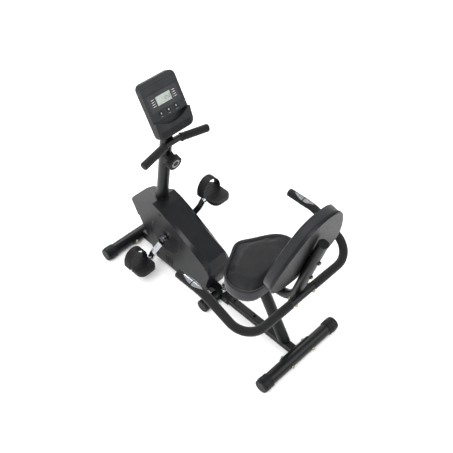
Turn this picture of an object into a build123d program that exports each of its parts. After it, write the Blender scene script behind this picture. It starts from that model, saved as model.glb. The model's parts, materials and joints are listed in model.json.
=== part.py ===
"""Recumbent exercise bike, in millimetres: +X forward, +Y the rider's left, +Z up.

Places are worked out from the rear stabiliser: x = 0 is its axis, z = 0 is the floor.
At the end the whole machine moves along X, so that its origin lies on the floor under the
middle of its length.
"""
from build123d import *
import math
import os

os.makedirs("parts", exist_ok=True)

# ---------------------------------------------------------------- driving dimensions
# stabilisers: the two cross tubes that stand on the floor
STAB_SPAN = 922.0        # between the two axes
STAB_LENGTH = 423.0      # over the end caps
STAB_R = 25.4
STAB_Z = 30.0            # height of their axes, and of the beam between them
TUBE_WALL = 2.0
CAP_COLLAR_R = 29.5
CAP_R = 27.8
CAP_LENGTH = 48.0
CAP_END = 7.0            # thickness of a cap's closed end
CAP_PAD = 22.0           # side of the flat pad under a cap
STAB_BOLT_PITCH = 117.5
BOLT_R = 4.0
SADDLE_THICK = 4.0
SADDLE_LENGTH = 150.0
SADDLE_SPREAD = 52.0     # degrees to each side

# telescoping base: the rear beam slides in the front frame's sleeve
BEAM_W = 30.0
BEAM_H = 35.0
BEAM_INSERT = 90.0       # beam length inside the sleeve
GROOVE_R = 3.0
SLEEVE_END_X = 377.0
BUSH = 1.5               # plastic guide between beam and sleeve
BUSH_COLLAR = 8.0
BUSH_DEPTH = 18.0
PIN_X = 405.0
PIN_R = 5.0
PIN_HOLE_CLEAR = 0.6
FIRST_STEP = 63.0        # from the pin to the next hole
HOLE_PITCH = 109.0
PIN_NUT_R = 10.5
PIN_NUT_H = 20.0
PIN_LOCK = 9.0           # how far the pin drops into its hole
RING_R = 14.0
RING_WIRE = 1.4
FOOT_X = 427.0           # short cross foot under the front frame
FOOT_LENGTH = 214.0
FOOT_R = 22.0
FOOT_CAP_R = 27.0
FOOT_CAP_LENGTH = 34.0
FOOT_LIFT = 0.5          # the foot only just clears a level floor

# seat and its frame
FRAME_R = 19.05
SEAT_POST_R = 22.5
SEAT_POST_X = 66.0
SEAT_POST_LEAN = 30.0    # degrees forward of upright
RAIL_Z = 318.0
RAIL_FRONT_X = 282.0
RAIL_BEND_R = 88.0
BACK_LEAN = 15.0         # degrees back of upright
BACK_LINE_X = 55.5       # where the upright tube's line meets the rail's axis
BACK_TUBE_LENGTH = 385.0
TUBE_PLUG = 12.0         # depth of the plug in the upright tube's end
TUBE_PLUG_HEAD = 2.5
SEAT_REAR_X = 124.0
SEAT_LENGTH = 216.0
SEAT_HALF_W = 163.0
SEAT_THICK = 60.0
SEAT_BOARD = 8.0
SEAT_BRACKET = 5.0
SEAT_BRACKET_W = 90.0
BACK_BOTTOM = 127.0      # along the tube, above the rail's axis
BACK_LENGTH = 378.0
BACK_HALF_W = 165.0
BACK_THICK = 36.0
BACK_BOARD = 9.0
BACK_BRACKET = 4.0
BACK_BRACKET_W = 60.0
BACK_BOLTS = (195.0, 290.0)   # along the tube
SOFT_CLEAR = 0.3
DOME_R = 7.0             # dome nuts and bolt heads

# the U-shaped bar with the rear hand grips
BAR_R = 14.3
BAR_X = 14.0
BAR_Z = 379.5
BAR_HALF_W = 280.5
GRIP_HALF_W = 288.0
GRIP_Z = 467.0
GRIP_BEND_X = 207.0
GRIP_FRONT_X = 335.0
BAR_BEND_R = 89.0
GRIP_BEND_R = 150.0
BAR_BOLT_PITCH = 92.0
BAR_SADDLE_LENGTH = 112.0
FOAM_WALL = 2.2
FOAM_R = BAR_R + FOAM_WALL
FOAM_Y = 58.0            # the foam on the bar starts this far from the middle
PULSE_REAR_X = 216.0     # rear tip of the leaf that two hand-pulse plates make
PULSE_LENGTH = 97.0
PULSE_HALF_W = 12.0
PULSE_BRIDGE = 4.0
PULSE_PLATE = 1.2

# crank and pedals
CRANK_X = 687.0
CRANK_Z = 210.0
CRANK_R = 155.0
CRANK_DOWN = 66.5        # degrees: the left crank points forward and down
AXLE_R = 8.0
CRANK_HUB_Y = 63.5       # inner face of the crank arm's hub
CRANK_END_Y = 104.0      # outer face of the crank arm's pedal end
CRANK_THICK = 11.0
CRANK_W = 24.0
SPINDLE_R = 6.0
PEDAL_L = 122.0
PEDAL_W = 92.0
PEDAL_H = 16.0
PEDAL_SKIN = 4.0
PEDAL_CORNER = 30.0
PEDAL_BARREL = 4.0       # wall of the barrel round the spindle
PEDAL_GAP = 7.0
WEIGHT_H = 9.0
STRAP_RISE = 60.0
STRAP_W = 36.0
STRAP_THICK = 2.6
STRAP_X = 28.0           # forward of the spindle

# drive inside the casing
HOUSE_R = 21.0
HOUSE_LOW_Y = -20.0
HOUSE_HIGH_Y = 40.0
BEARING_R = 17.5
BEARING_W = 11.0
PULLEY_R = 100.0
PULLEY_W = 12.0
PULLEY_Y = -38.0
FLY_X = 536.0
FLY_Z = 142.0
FLY_R = 78.0
FLY_W = 26.0
FLY_Y = 3.0
FLY_AXLE_R = 6.0
FLY_PULLEY_R = 16.0
FLY_PLATE = 4.0
BELT = 2.0
BELT_CLEAR = 0.3
IDLER_R = 14.0
IDLER_ALONG = 52.0       # along the belt's lower run, from the small pulley
MAGNET_GAP = 1.5
MAGNET_H = 4.0
YOKE = 4.0
YOKE_ANGLES = (38.0, 128.0)
RUN_CLEAR = 0.05         # running fit, on the radius

# casing
CASE_HALF_W = 60.0
CASE_ROOF_HALF_W = 45.0
CASE_WALL = 2.5
CASE_STEP = 3.0          # the side shells lie this much inside the hood
CASE_OVERLAP = 6.0       # of hood and side shells along their seam
CASE_CLEAR = 0.5         # round the tubes that pass through
CASE_REAR_X = 430.0
CASE_NOSE_X = 908.0
CASE_BOTTOM_Z = 30.0
CASE_TOP_Z = 355.0
NOSE_R = 66.0
CASE_SCREW_R = 2.5
TIE_ROD_R = 6.0
TIE_ROD_X = (494.0, 752.0)
VENT_COUNT = 5
VENT_PITCH = 9.0
VENT_H = 44.0
VENT_W = 3.0

# console post, handlebar and console
POST_R = 24.0
POST_LEAN = 9.2          # degrees back of upright
POST_X = 715.3           # the post's axis at POST_REF_Z
POST_REF_Z = 634.0
SOCKET_LOW_Z = 128.0
SOCKET_TOP_Z = 300.0
SOCKET_STRUT_X = (768.0, 800.0)
SOCKET_STRUT_HALF_W = 16.0
SOCKET_CLEAR = 0.2
SOCKET_WALL = 3.8
SOCKET_R = POST_R + SOCKET_CLEAR + SOCKET_WALL
COLLAR_WALL = 3.3
COLLAR_R = POST_R + SOCKET_CLEAR + COLLAR_WALL
COLLAR_H = 16.0
HANDLE_R = 12.7
HANDLE_Z = 690.0         # of its middle, on the rider's side of the post
HANDLE_X = 672.0
HANDLE_HALF_MIDDLE = 28.5
HANDLE_END = (651.0, 155.5, 678.0)
HANDLE_BEND_R = 45.0
HANDLE_GRIP_R = 15.9
HANDLE_GRIP = 118.0
KNOB_Z = 597.0
KNOB_R = 31.0
KNOB_LENGTH = 22.0
KNOB_FLUTES = 12
KNOB_STEM_R = 4.0
KNOB_DRUM_R = 9.0
HOUSING_W = 46.0
HOUSING_H = 52.0
HOUSING_OUT = 14.0       # how far the housing stands off the post
CABLE_R = 2.5
CABLE_STANDOFF = 19.0    # the brake can swing out this far under the cable's end
CONSOLE_TOP_X = 743.0
CONSOLE_TOP_Z = 937.0
CONSOLE_TILT = 60.0      # the face's angle from level
CONSOLE_LENGTH = 212.0
CONSOLE_HALF_W = 81.0
CONSOLE_CORNER = 23.0
CONSOLE_FRONT = 20.0     # depth of the front shell
CONSOLE_BACK = 15.0      # depth of the rear shell
CONSOLE_WALL = 2.5
LCD_W = 65.0
LCD_H = 33.0
LCD_DOWN = 79.5          # from the console's top edge to the display's middle
KEY_R = 8.0
KEY_PITCH = 34.3
KEY_DOWN = 122.5
KEY_PROUD = 1.5
KEY_CLEAR = 0.3
TRAY_DOWN = 143.0        # where the book tray's slot starts
TRAY_BOTTOM = 186.0
TRAY_HALF_W = 72.0
TRAY_SLOT = 9.0
TRAY_LIP = 6.0
TRAY_STANDOFF = 14.0     # the lip's upper edge stands this far off the face
TRAY_LIP_WALL = 4.0
TRAY_SAG = 25.0          # depth of the lip's hollow upper edge

# smaller details
CAP_COLLAR_IN = (12.0, 30.0)         # an end cap's collar, inward from the tube's end
CAP_PAD_IN = 21.0
CAP_PAD_W = 18.0
PIN_EYE_RISE = 8.0
PIN_EYE_R = 2.3
PIN_EYE_H = 10.0
BRACKET_REAR_IN = 24.0
BRACKET_FRONT_IN = 6.0
BRACKET_SCREW_IN = 14.0
BRACKET_SCREW_SIDE = 12.0
BRACKET_CORNER = 8.0
BACK_BRACKET_L = 140.0
GRIP_PLUG = 5.0
SOCKET_STRUT_UP = 20.0
STRUT_L = 40.0
STRUT_W = 26.0
STRUT_WALL = 2.0
HOOD_SCREWS = [(712.0, 318.0), (452.0, 196.0)]
VENT_X = 676.0
COLLAR_SUNK = 6.0
HOUSING_CORNER = 10.0
CAVITY_CORNER = 18.0
BOSS_R = 3.5
BOSS_H = 6.0
BOSS_HALF_X = 60.0
BOSS_DOWN = (36.0, 130.0)
BOARD_W = 126.0
BOARD_H = 110.0
BOARD_THICK = 1.6
MODULE_EDGE = 8.0
MODULE_GAP = 0.2
BACK_CHAMFER = 9.0
BACK_RIM = 16.0
BACK_RIM_CORNER = 12.0
CONSOLE_PLATE = (80.0, 44.0)
CONSOLE_PLATE_THICK = 3.0
CONSOLE_PLATE_SUNK = 4.0
PLATE_CORNER = 5.0
BACK_SCREW_R = 1.5
BACK_HEAD_R = 3.0
BACK_SCREW_SEAT = 6.0
BACK_SCREW_BITE = 8.0
CASE_SCREW_SIDE = 11.0               # the console's screws, inward from its sides
CASE_LOW_SCREW_SIDE = 17.0
CASE_SCREW_DOWN = 28.0

nodes = {}               # node name: list of solids


# ---------------------------------------------------------------- helpers
def keep(name, *shapes):
    """Add the solids of the shapes to a node."""
    for shape in shapes:
        nodes.setdefault(name, []).extend(shape.solids())


def rod(start, end, radius, bore=0.0):
    """Round bar, or tube with a bore, between two points."""
    start, end = Vector(*start), Vector(*end)
    section = Circle(radius) - Circle(bore) if bore else Circle(radius)
    return extrude(Plane(origin=start, z_dir=end - start) * section, (end - start).length)


def cross(x, z, radius, y_low, y_high, bore=0.0):
    """Round bar or tube along Y."""
    return rod((x, y_low, z), (x, y_high, z), radius, bore)


def upright(x, y, radius, z_low, z_high, bore=0.0):
    """Round bar or tube along Z."""
    return rod((x, y, z_low), (x, y, z_high), radius, bore)


def slab(sketch, y_low, y_high):
    """Extrude a sketch of the side view (x forward, y up) from one side to the other."""
    side = Plane(origin=(0, y_high, 0), x_dir=(1, 0, 0), z_dir=(0, -1, 0))
    return extrude(side * sketch, y_high - y_low)


def along_x(section, x_low, x_high, z):
    """Extrude a section (width along Y, height along Z) forward."""
    return extrude(Plane(origin=(x_low, 0, z), x_dir=(0, 1, 0), z_dir=(1, 0, 0)) * section, x_high - x_low)


def block(x_low, x_high, y_low, y_high, z_low, z_high):
    """Box between its limits."""
    middle = Pos((x_low + x_high) / 2, (y_low + y_high) / 2, (z_low + z_high) / 2)
    return middle * Box(x_high - x_low, y_high - y_low, z_high - z_low)


def bent(points, radii, radius, bore=0.0):
    """Round bar or tube along straight runs joined by arcs."""
    path = FilletPolyline(*points, radius=radii)
    section = Circle(radius) - Circle(bore) if bore else Circle(radius)
    return sweep(Plane(origin=path @ 0, z_dir=path % 0) * section, path=path)


def rect_tube(width, height, wall, corner=5.0):
    """Section of a rectangular tube with rounded corners."""
    return RectangleRounded(width, height, corner) - RectangleRounded(width - 2 * wall, height - 2 * wall,
                                                                      corner - wall)


def hull_of(*circles):
    """Outline round circles given as (x, y, radius)."""
    return make_hull([edge for x, y, radius in circles for edge in (Pos(x, y) * Circle(radius)).edges()])


def saddle(x, z, radius, angle, length):
    """Curved plate that hugs a cross tube; angle points at its middle, from +X towards +Z."""
    reach = 4 * radius
    low, high = (math.radians(angle + side * SADDLE_SPREAD) for side in (-1, 1))
    wedge = make_face(Polyline((0, 0), (reach * math.cos(low), reach * math.sin(low)),
                               (reach * math.cos(high), reach * math.sin(high)), close=True))
    ring = Circle(radius + SADDLE_THICK) - Circle(radius)
    return slab(Pos(x, z) * (ring & wedge), -length / 2, length / 2)


def dome_bolt(start, end, head=DOME_R, dome=6.0):
    """Bolt between two seats, with a domed head at the start and a dome nut at the end."""
    start, end = Vector(*start), Vector(*end)
    axis = (end - start).normalized()
    shape = rod(start, end, BOLT_R)
    for seat, out in ((start, -axis), (end, axis)):
        knob = rod(seat, seat + out * dome, head)
        rim = knob.edges().filter_by(GeomType.CIRCLE).sort_by(lambda e: (e.arc_center - seat).dot(out))[-1]
        shape += fillet(rim, dome * 0.7)
    return shape


def post_at(z):
    """Point on the console post's axis at a height."""
    return Vector(POST_X - (z - POST_REF_Z) * math.tan(math.radians(POST_LEAN)), 0, z)


# ---------------------------------------------------------------- stabilisers
def end_cap(x, z, tube_r, cap_r, y_end, length):
    """Plastic cup over a tube end: a plain barrel with a closed, rounded end."""
    inward = -math.copysign(1, y_end)
    cup = rod((x, y_end, z), (x, y_end + inward * length, z), cap_r)
    rim = cup.edges().filter_by(GeomType.CIRCLE).sort_by(Axis.Y)[-1 if y_end > 0 else 0]
    return fillet(rim, 4.0) - rod((x, y_end + inward * CAP_END, z), (x, y_end + inward * length, z), tube_r)


def stabiliser(prefix, x, inward):
    """Cross tube with caps, pads and bolts; inward is the way to the other stabiliser."""
    half = STAB_LENGTH / 2 - CAP_END
    tube = cross(x, STAB_Z, STAB_R, -half, half, STAB_R - TUBE_WALL)
    plate = saddle(x, STAB_Z, STAB_R, 0 if inward > 0 else 180, SADDLE_LENGTH)
    for side in (-1, 1):
        y = side * STAB_BOLT_PITCH / 2
        head = (x - inward * STAB_R, y, STAB_Z)
        nut = (x + inward * (STAB_R + SADDLE_THICK), y, STAB_Z)
        hole = rod(head, nut, BOLT_R)
        hole += rod(head, (x, y, STAB_Z), BOLT_R)
        tube -= hole
        plate -= hole
        keep(prefix + "_frame_bolts", dome_bolt(head, nut))
        cap = end_cap(x, STAB_Z, STAB_R, CAP_R, side * STAB_LENGTH / 2, CAP_LENGTH)
        collar_y = sorted(side * (STAB_LENGTH / 2 - inward) for inward in CAP_COLLAR_IN)
        cap += cross(x, STAB_Z, CAP_COLLAR_R, *collar_y, bore=STAB_R)
        pad_y = side * (STAB_LENGTH / 2 - CAP_PAD_IN)
        pad = block(x - CAP_PAD / 2, x + CAP_PAD / 2, pad_y - CAP_PAD_W / 2, pad_y + CAP_PAD_W / 2, 0, STAB_Z)
        cap += pad - cross(x, STAB_Z, STAB_R, -STAB_LENGTH, STAB_LENGTH)
        keep(prefix + "_end_caps", cap)
    keep(prefix + "_stabiliser", tube)
    return plate


keep("seat_frame_plates", stabiliser("rear", 0.0, 1))
keep("front_frame", stabiliser("front", STAB_SPAN, -1))

# ---------------------------------------------------------------- rear beam
saddle_reach = STAB_R + SADDLE_THICK
beam_top = STAB_Z + BEAM_H / 2
beam_front = SLEEVE_END_X + BEAM_INSERT
beam = along_x(rect_tube(BEAM_W, BEAM_H, TUBE_WALL), 0, beam_front, STAB_Z)
for side in (-1, 1):
    groove_y = side * (BEAM_W / 2 + GROOVE_R / 2)
    beam -= rod((-1, groove_y, STAB_Z), (beam_front + 1, groove_y, STAB_Z), GROOVE_R)
beam -= cross(0, STAB_Z, saddle_reach, -BEAM_W, BEAM_W)
for x in (PIN_X, PIN_X - FIRST_STEP, PIN_X - FIRST_STEP - HOLE_PITCH):
    beam -= upright(x, 0, PIN_R + PIN_HOLE_CLEAR, STAB_Z, beam_top + 1)
keep("rear_beam", beam)

# ---------------------------------------------------------------- front frame
sleeve_w = BEAM_W + 2 * (BUSH + TUBE_WALL)
sleeve_h = BEAM_H + 2 * (BUSH + TUBE_WALL)
sleeve_top = STAB_Z + sleeve_h / 2
sleeve = along_x(rect_tube(sleeve_w, sleeve_h, TUBE_WALL), SLEEVE_END_X, STAB_SPAN, STAB_Z)
sleeve -= cross(STAB_SPAN, STAB_Z, saddle_reach, -sleeve_w, sleeve_w)
sleeve -= upright(PIN_X, 0, PIN_R + PIN_HOLE_CLEAR, STAB_Z, sleeve_top + 1)
keep("front_frame", sleeve)

foot_z = FOOT_CAP_R + FOOT_LIFT
foot_half = FOOT_LENGTH / 2 - CAP_END
foot = cross(FOOT_X, foot_z, FOOT_R, -foot_half, foot_half)
foot -= block(0, STAB_SPAN, -sleeve_w / 2, sleeve_w / 2, STAB_Z - sleeve_h / 2, sleeve_top)
for side in (-1, 1):
    bore_from = side * (sleeve_w / 2 + TUBE_WALL)
    foot -= rod((FOOT_X, bore_from, foot_z), (FOOT_X, side * foot_half, foot_z), FOOT_R - TUBE_WALL)
    cap_end = side * FOOT_LENGTH / 2
    keep("front_end_caps", end_cap(FOOT_X, foot_z, FOOT_R, FOOT_CAP_R, cap_end, FOOT_CAP_LENGTH))
keep("front_frame", foot)

# plastic guide in the sleeve's mouth, with a collar outside it
beam_room = RectangleRounded(BEAM_W + 2 * SOFT_CLEAR, BEAM_H + 2 * SOFT_CLEAR, 5.0)
bush = along_x(RectangleRounded(sleeve_w, sleeve_h, 5.0) - beam_room,
               SLEEVE_END_X - BUSH_COLLAR, SLEEVE_END_X, STAB_Z)
bush += along_x(RectangleRounded(BEAM_W + 2 * BUSH, BEAM_H + 2 * BUSH, 3.0) - beam_room,
                SLEEVE_END_X, SLEEVE_END_X + BUSH_DEPTH, STAB_Z)
keep("frame_bush", bush)

# pull pin: a nut on the sleeve, the pin through it, and its ring
keep("front_frame", upright(PIN_X, 0, PIN_NUT_R, sleeve_top, sleeve_top + PIN_NUT_H, PIN_R + RUN_CLEAR))
pin_head_z = sleeve_top + PIN_NUT_H + PIN_LOCK + 1
eye_z = pin_head_z + PIN_EYE_RISE
pin = upright(PIN_X, 0, PIN_R, beam_top + CASE_CLEAR, pin_head_z)
pin += block(PIN_X - 5, PIN_X + 5, -3, 3, pin_head_z, pin_head_z + 13)
pin -= cross(PIN_X, eye_z, PIN_EYE_R, -PIN_EYE_H, PIN_EYE_H)
keep("pull_pin", pin)
keep("pull_ring", Pos(PIN_X, 0, eye_z + RING_R) * (Rot(0, 90, 0) * Torus(RING_R, RING_WIRE)))


# ---------------------------------------------------------------- seat frame
def back_point(along, out=0.0, y=0.0):
    """Point by the upright tube: along it from the rail's axis, and forward of its axis."""
    lean = math.radians(BACK_LEAN)
    return Vector(BACK_LINE_X - along * math.sin(lean) + out * math.cos(lean), y,
                  RAIL_Z + along * math.cos(lean) + out * math.sin(lean))


back_plane = Plane(origin=back_point(0), x_dir=(0, 1, 0), z_dir=back_point(0, 1) - back_point(0))


def on_back(sketch, low, high):
    """Extrude a sketch (y across, distance along the tube) between two distances in front of it."""
    return extrude(back_plane.offset(low) * sketch, high - low)


seat_tube = bent([back_point(BACK_TUBE_LENGTH), back_point(0), (RAIL_FRONT_X, 0, RAIL_Z)], [RAIL_BEND_R],
                 FRAME_R, FRAME_R - TUBE_WALL)
bar_saddle_r = BAR_R + SADDLE_THICK
seat_tube -= cross(BAR_X, BAR_Z, bar_saddle_r, -50, 50)
seat_tube = seat_tube.solids().sort_by(SortBy.VOLUME)[-1]

post_lean = math.radians(SEAT_POST_LEAN)
post_top_x = SEAT_POST_X + (RAIL_Z - STAB_Z) * math.tan(post_lean)
seat_post = rod((SEAT_POST_X, 0, STAB_Z), (post_top_x, 0, RAIL_Z), SEAT_POST_R, SEAT_POST_R - TUBE_WALL)
seat_post -= block(-50, 500, -40, 40, 0, beam_top)
seat_post -= rod((0, 0, RAIL_Z), (500, 0, RAIL_Z), FRAME_R)
keep("seat_post", seat_post.solids().sort_by(SortBy.VOLUME)[-1])

rail_top = RAIL_Z + FRAME_R
seat_z = rail_top + SEAT_BRACKET
bracket_x = (SEAT_REAR_X + BRACKET_REAR_IN, RAIL_FRONT_X - BRACKET_FRONT_IN)
seat_bracket = block(*bracket_x, -SEAT_BRACKET_W / 2, SEAT_BRACKET_W / 2, rail_top, seat_z)


def seat_outline(inset):
    """Rounded, tapering seat seen from above: straight at the rear, widest before its middle."""
    shape = [(0.0, 0.60), (0.09, 0.86), (0.35, 1.0), (0.59, 0.92), (0.74, 0.69), (0.9, 0.30)]
    length, half = SEAT_LENGTH - 2 * inset, SEAT_HALF_W - inset
    side = [(SEAT_REAR_X + inset + a * length, b * half) for a, b in shape]
    edge = Spline(*side, (SEAT_REAR_X + inset + length, 0.0), *[(x, -y) for x, y in reversed(side)])
    return make_face([edge, Line(edge @ 1, edge @ 0)])


seat_board = extrude(Pos(0, 0, seat_z) * seat_outline(6.0), SEAT_BOARD)
for x in (bracket_x[0] + BRACKET_SCREW_IN, bracket_x[1] - BRACKET_SCREW_IN):
    for y in (-SEAT_BRACKET_W / 2 + BRACKET_SCREW_SIDE, SEAT_BRACKET_W / 2 - BRACKET_SCREW_SIDE):
        screw_hole = upright(x, y, 3.0, rail_top, seat_z + SEAT_BOARD)
        seat_bracket -= screw_hole
        seat_board -= screw_hole
        keep("rear_frame_bolts", screw_hole + upright(x, y, 6.0, rail_top - 4, rail_top))
keep("seat_frame_plates", seat_bracket)
keep("seat_board", seat_board)
keep("seat_cushion", extrude(Pos(0, 0, seat_z + SEAT_BOARD + SOFT_CLEAR) * seat_outline(0.0), SEAT_THICK))

# backrest: outline drawn across (x) and along the upright tube (y)
def back_outline(inset):
    """Smooth egg-like outline, widest a quarter of the way up, moved inward by an inset."""
    shape = [(0.03, 0.50), (0.11, 0.80), (0.27, 1.0), (0.45, 0.96), (0.62, 0.83), (0.78, 0.66), (0.91, 0.47),
             (0.98, 0.24)]
    length, half = BACK_LENGTH - 2 * inset, BACK_HALF_W - inset
    low = BACK_BOTTOM + inset
    side = [(b * half, low + a * length) for a, b in shape]
    loop = [(0, low)] + side + [(0, low + length)] + [(-x, y) for x, y in reversed(side)]
    return make_face(Spline(*loop, periodic=True))


bracket_out = FRAME_R + BACK_BRACKET
back_bracket = RectangleRounded(BACK_BRACKET_W, BACK_BRACKET_L, BRACKET_CORNER)
back_bracket = on_back(Pos(0, sum(BACK_BOLTS) / 2) * back_bracket, FRAME_R, bracket_out)
back_board = on_back(back_outline(0.0), bracket_out, bracket_out + BACK_BOARD)
pad_out = bracket_out + BACK_BOARD + SOFT_CLEAR
for along in BACK_BOLTS:
    bolt_hole = rod(back_point(along, -FRAME_R), back_point(along, bracket_out + BACK_BOARD), BOLT_R)
    seat_tube -= bolt_hole
    back_bracket -= bolt_hole
    back_board -= bolt_hole
    head = rod(back_point(along, -FRAME_R - 6), back_point(along, -FRAME_R), DOME_R)
    keep("rear_frame_bolts", bolt_hole + head)
keep("seat_tube", seat_tube)
tube_end = back_point(BACK_TUBE_LENGTH)
tube_up = back_point(1) - back_point(0)
keep("rear_end_caps", rod(tube_end - tube_up * TUBE_PLUG, tube_end, FRAME_R - TUBE_WALL)
     + rod(tube_end, tube_end + tube_up * TUBE_PLUG_HEAD, FRAME_R))
keep("seat_frame_plates", back_bracket)
keep("backrest_shell", back_board)
keep("backrest_cushion", on_back(back_outline(4.0), pad_out, pad_out + BACK_THICK))

# ---------------------------------------------------------------- U-shaped bar
bar_half = [(GRIP_FRONT_X, GRIP_HALF_W, GRIP_Z), (GRIP_BEND_X, GRIP_HALF_W, GRIP_Z),
            (BAR_X, BAR_HALF_W, BAR_Z)]
leaf_r = (PULSE_LENGTH ** 2 / 4 + PULSE_HALF_W ** 2) / (2 * PULSE_HALF_W)
leaf = (Pos(0, PULSE_HALF_W - leaf_r) * Circle(leaf_r)) & (Pos(0, leaf_r - PULSE_HALF_W) * Circle(leaf_r))
bar_points = bar_half + [(x, -y, z) for x, y, z in reversed(bar_half)]
bar = bent(bar_points, [GRIP_BEND_R, BAR_BEND_R, BAR_BEND_R, GRIP_BEND_R], BAR_R, BAR_R - TUBE_WALL)
bar_saddle = saddle(BAR_X, BAR_Z, BAR_R, BACK_LEAN, BAR_SADDLE_LENGTH)
lean_x, lean_z = math.cos(math.radians(BACK_LEAN)), math.sin(math.radians(BACK_LEAN))
for side in (-1, 1):
    y = side * BAR_BOLT_PITCH / 2
    nut_at = (BAR_X + bar_saddle_r * lean_x, y, BAR_Z + bar_saddle_r * lean_z)
    head_at = (BAR_X - BAR_R * lean_x, y, BAR_Z - BAR_R * lean_z)
    bar -= rod(head_at, nut_at, BOLT_R) + rod(head_at, (BAR_X, y, BAR_Z), BOLT_R)
    bar_saddle -= rod(head_at, nut_at, BOLT_R)
    keep("rear_frame_bolts", dome_bolt(head_at, nut_at))
    hand = "left" if side > 0 else "right"
    foam_points = [(x, side * y, z) for x, y, z in bar_half] + [(BAR_X, side * FOAM_Y, BAR_Z)]
    keep("foam_grips", bent(foam_points, [GRIP_BEND_R, BAR_BEND_R], FOAM_R, BAR_R))
    grip_end = Vector(GRIP_FRONT_X, side * GRIP_HALF_W, GRIP_Z)
    plug = rod(grip_end, grip_end + Vector(GRIP_PLUG, 0, 0), FOAM_R)
    plug = fillet(plug.edges().filter_by(GeomType.CIRCLE).sort_by(Axis.X)[-1], 3.0)
    keep("foam_grips", plug)
    plate_shell = bent(foam_points[:3], [GRIP_BEND_R], FOAM_R + PULSE_PLATE, FOAM_R)
    for way in (-1, 1):
        from_bridge = Pos(way * (PULSE_BRIDGE + PULSE_LENGTH) / 2, 0)
        half_leaf = leaf & from_bridge * Rectangle(PULSE_LENGTH, PULSE_LENGTH)
        place = Pos(PULSE_REAR_X + PULSE_LENGTH / 2, side * GRIP_HALF_W, GRIP_Z - 100)
        keep("pulse_plates", plate_shell & extrude(place * half_leaf, 200))
keep("u_bar", bar)
keep("seat_frame_plates", bar_saddle)

# ---------------------------------------------------------------- crank housing and post socket
keep("front_frame", rod(post_at(SOCKET_LOW_Z), post_at(SOCKET_TOP_Z), SOCKET_R, POST_R + SOCKET_CLEAR))
post_strut = block(*SOCKET_STRUT_X, -SOCKET_STRUT_HALF_W, SOCKET_STRUT_HALF_W, sleeve_top,
                   SOCKET_LOW_Z + SOCKET_STRUT_UP)
post_strut -= rod(post_at(SOCKET_LOW_Z), post_at(SOCKET_TOP_Z), SOCKET_R)
keep("front_frame", post_strut.solids().sort_by(SortBy.VOLUME)[-1])

housing = cross(CRANK_X, CRANK_Z, HOUSE_R, HOUSE_LOW_Y, HOUSE_HIGH_Y, BEARING_R - 2)
for y in (HOUSE_LOW_Y, HOUSE_HIGH_Y - BEARING_W):
    housing -= cross(CRANK_X, CRANK_Z, BEARING_R, y, y + BEARING_W)
    keep("crank_bearings", cross(CRANK_X, CRANK_Z, BEARING_R, y, y + BEARING_W, AXLE_R + RUN_CLEAR))
strut_x, strut_y = STRUT_L / 2, STRUT_W / 2
strut = block(CRANK_X - strut_x, CRANK_X + strut_x, -strut_y, strut_y, sleeve_top, CRANK_Z)
strut_x, strut_y = strut_x - STRUT_WALL, strut_y - STRUT_WALL
strut -= block(CRANK_X - strut_x, CRANK_X + strut_x, -strut_y, strut_y, sleeve_top, CRANK_Z)
strut -= cross(CRANK_X, CRANK_Z, HOUSE_R, -50, 50)
keep("crank_housing", housing)
keep("crank_housing", strut)

# ---------------------------------------------------------------- crank and pedals
crank_span = CRANK_HUB_Y + CRANK_THICK
keep("crank_axle", cross(CRANK_X, CRANK_Z, AXLE_R, -crank_span, crank_span))
pulley = slab(Circle(PULLEY_R) - Circle(AXLE_R), -PULLEY_W / 2, PULLEY_W / 2)
for turn in range(6):
    pulley -= Rot(0, 60 * turn, 0) * cross(PULLEY_R * 0.62, 0, PULLEY_R * 0.2, -PULLEY_W, PULLEY_W)
keep("crank_pulley", Pos(CRANK_X, PULLEY_Y, CRANK_Z) * pulley)

spindle_out = CRANK_END_Y + PEDAL_GAP + PEDAL_W + 3


def crank_arm(side):
    """Flat bar that steps outward between its hub and its pedal end, drawn along +X."""
    hub, tip = CRANK_HUB_Y, CRANK_END_Y - CRANK_THICK
    first, last = 0.30 * CRANK_R, 0.68 * CRANK_R
    inner = [(0, hub), (first, hub), (last, tip), (CRANK_R, tip)]
    outer = [(x, y + CRANK_THICK) for x, y in reversed(inner)]
    profile = make_face(Polyline(*inner, *outer, close=True))
    bends = [v for v in profile.vertices() if first - 1 < v.X < last + 1]
    arm = extrude(Pos(0, 0, -CRANK_W / 2) * fillet(bends, 14.0), CRANK_W)
    arm += cross(0, 0, CRANK_W * 0.66, hub, hub + CRANK_THICK)
    arm += cross(CRANK_R, 0, CRANK_W * 0.55, tip, CRANK_END_Y)
    arm -= cross(0, 0, AXLE_R, hub - 1, hub + CRANK_THICK + 1)
    arm -= cross(CRANK_R, 0, SPINDLE_R, tip - 1, CRANK_END_Y + 1)
    return arm if side > 0 else mirror(arm, about=Plane.XZ)


def pedal():
    """Foot plate with a rim, its spindle barrel and side walls; the spindle is the origin's Y axis."""
    outline = RectangleRounded(PEDAL_L, PEDAL_W, PEDAL_CORNER)
    plate = extrude(Pos(0, 0, -PEDAL_H / 2) * outline, PEDAL_H)
    plate -= extrude(Pos(0, 0, -PEDAL_H / 2) * offset(outline, -5.0), PEDAL_H - PEDAL_SKIN)
    barrel = cross(0, 0, SPINDLE_R + PEDAL_BARREL, -PEDAL_W / 2, PEDAL_W / 2)
    plate += barrel & block(-20, 20, -PEDAL_W, PEDAL_W, -20, PEDAL_H / 2)
    for x in (-PEDAL_L / 4, PEDAL_L / 4):
        plate += block(x - 1.5, x + 1.5, -PEDAL_W / 2 + 3, PEDAL_W / 2 - 3, -PEDAL_H / 2 + 1, PEDAL_H / 2 - 1)
    return plate - cross(0, 0, SPINDLE_R + RUN_CLEAR, -PEDAL_W, PEDAL_W)


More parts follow.
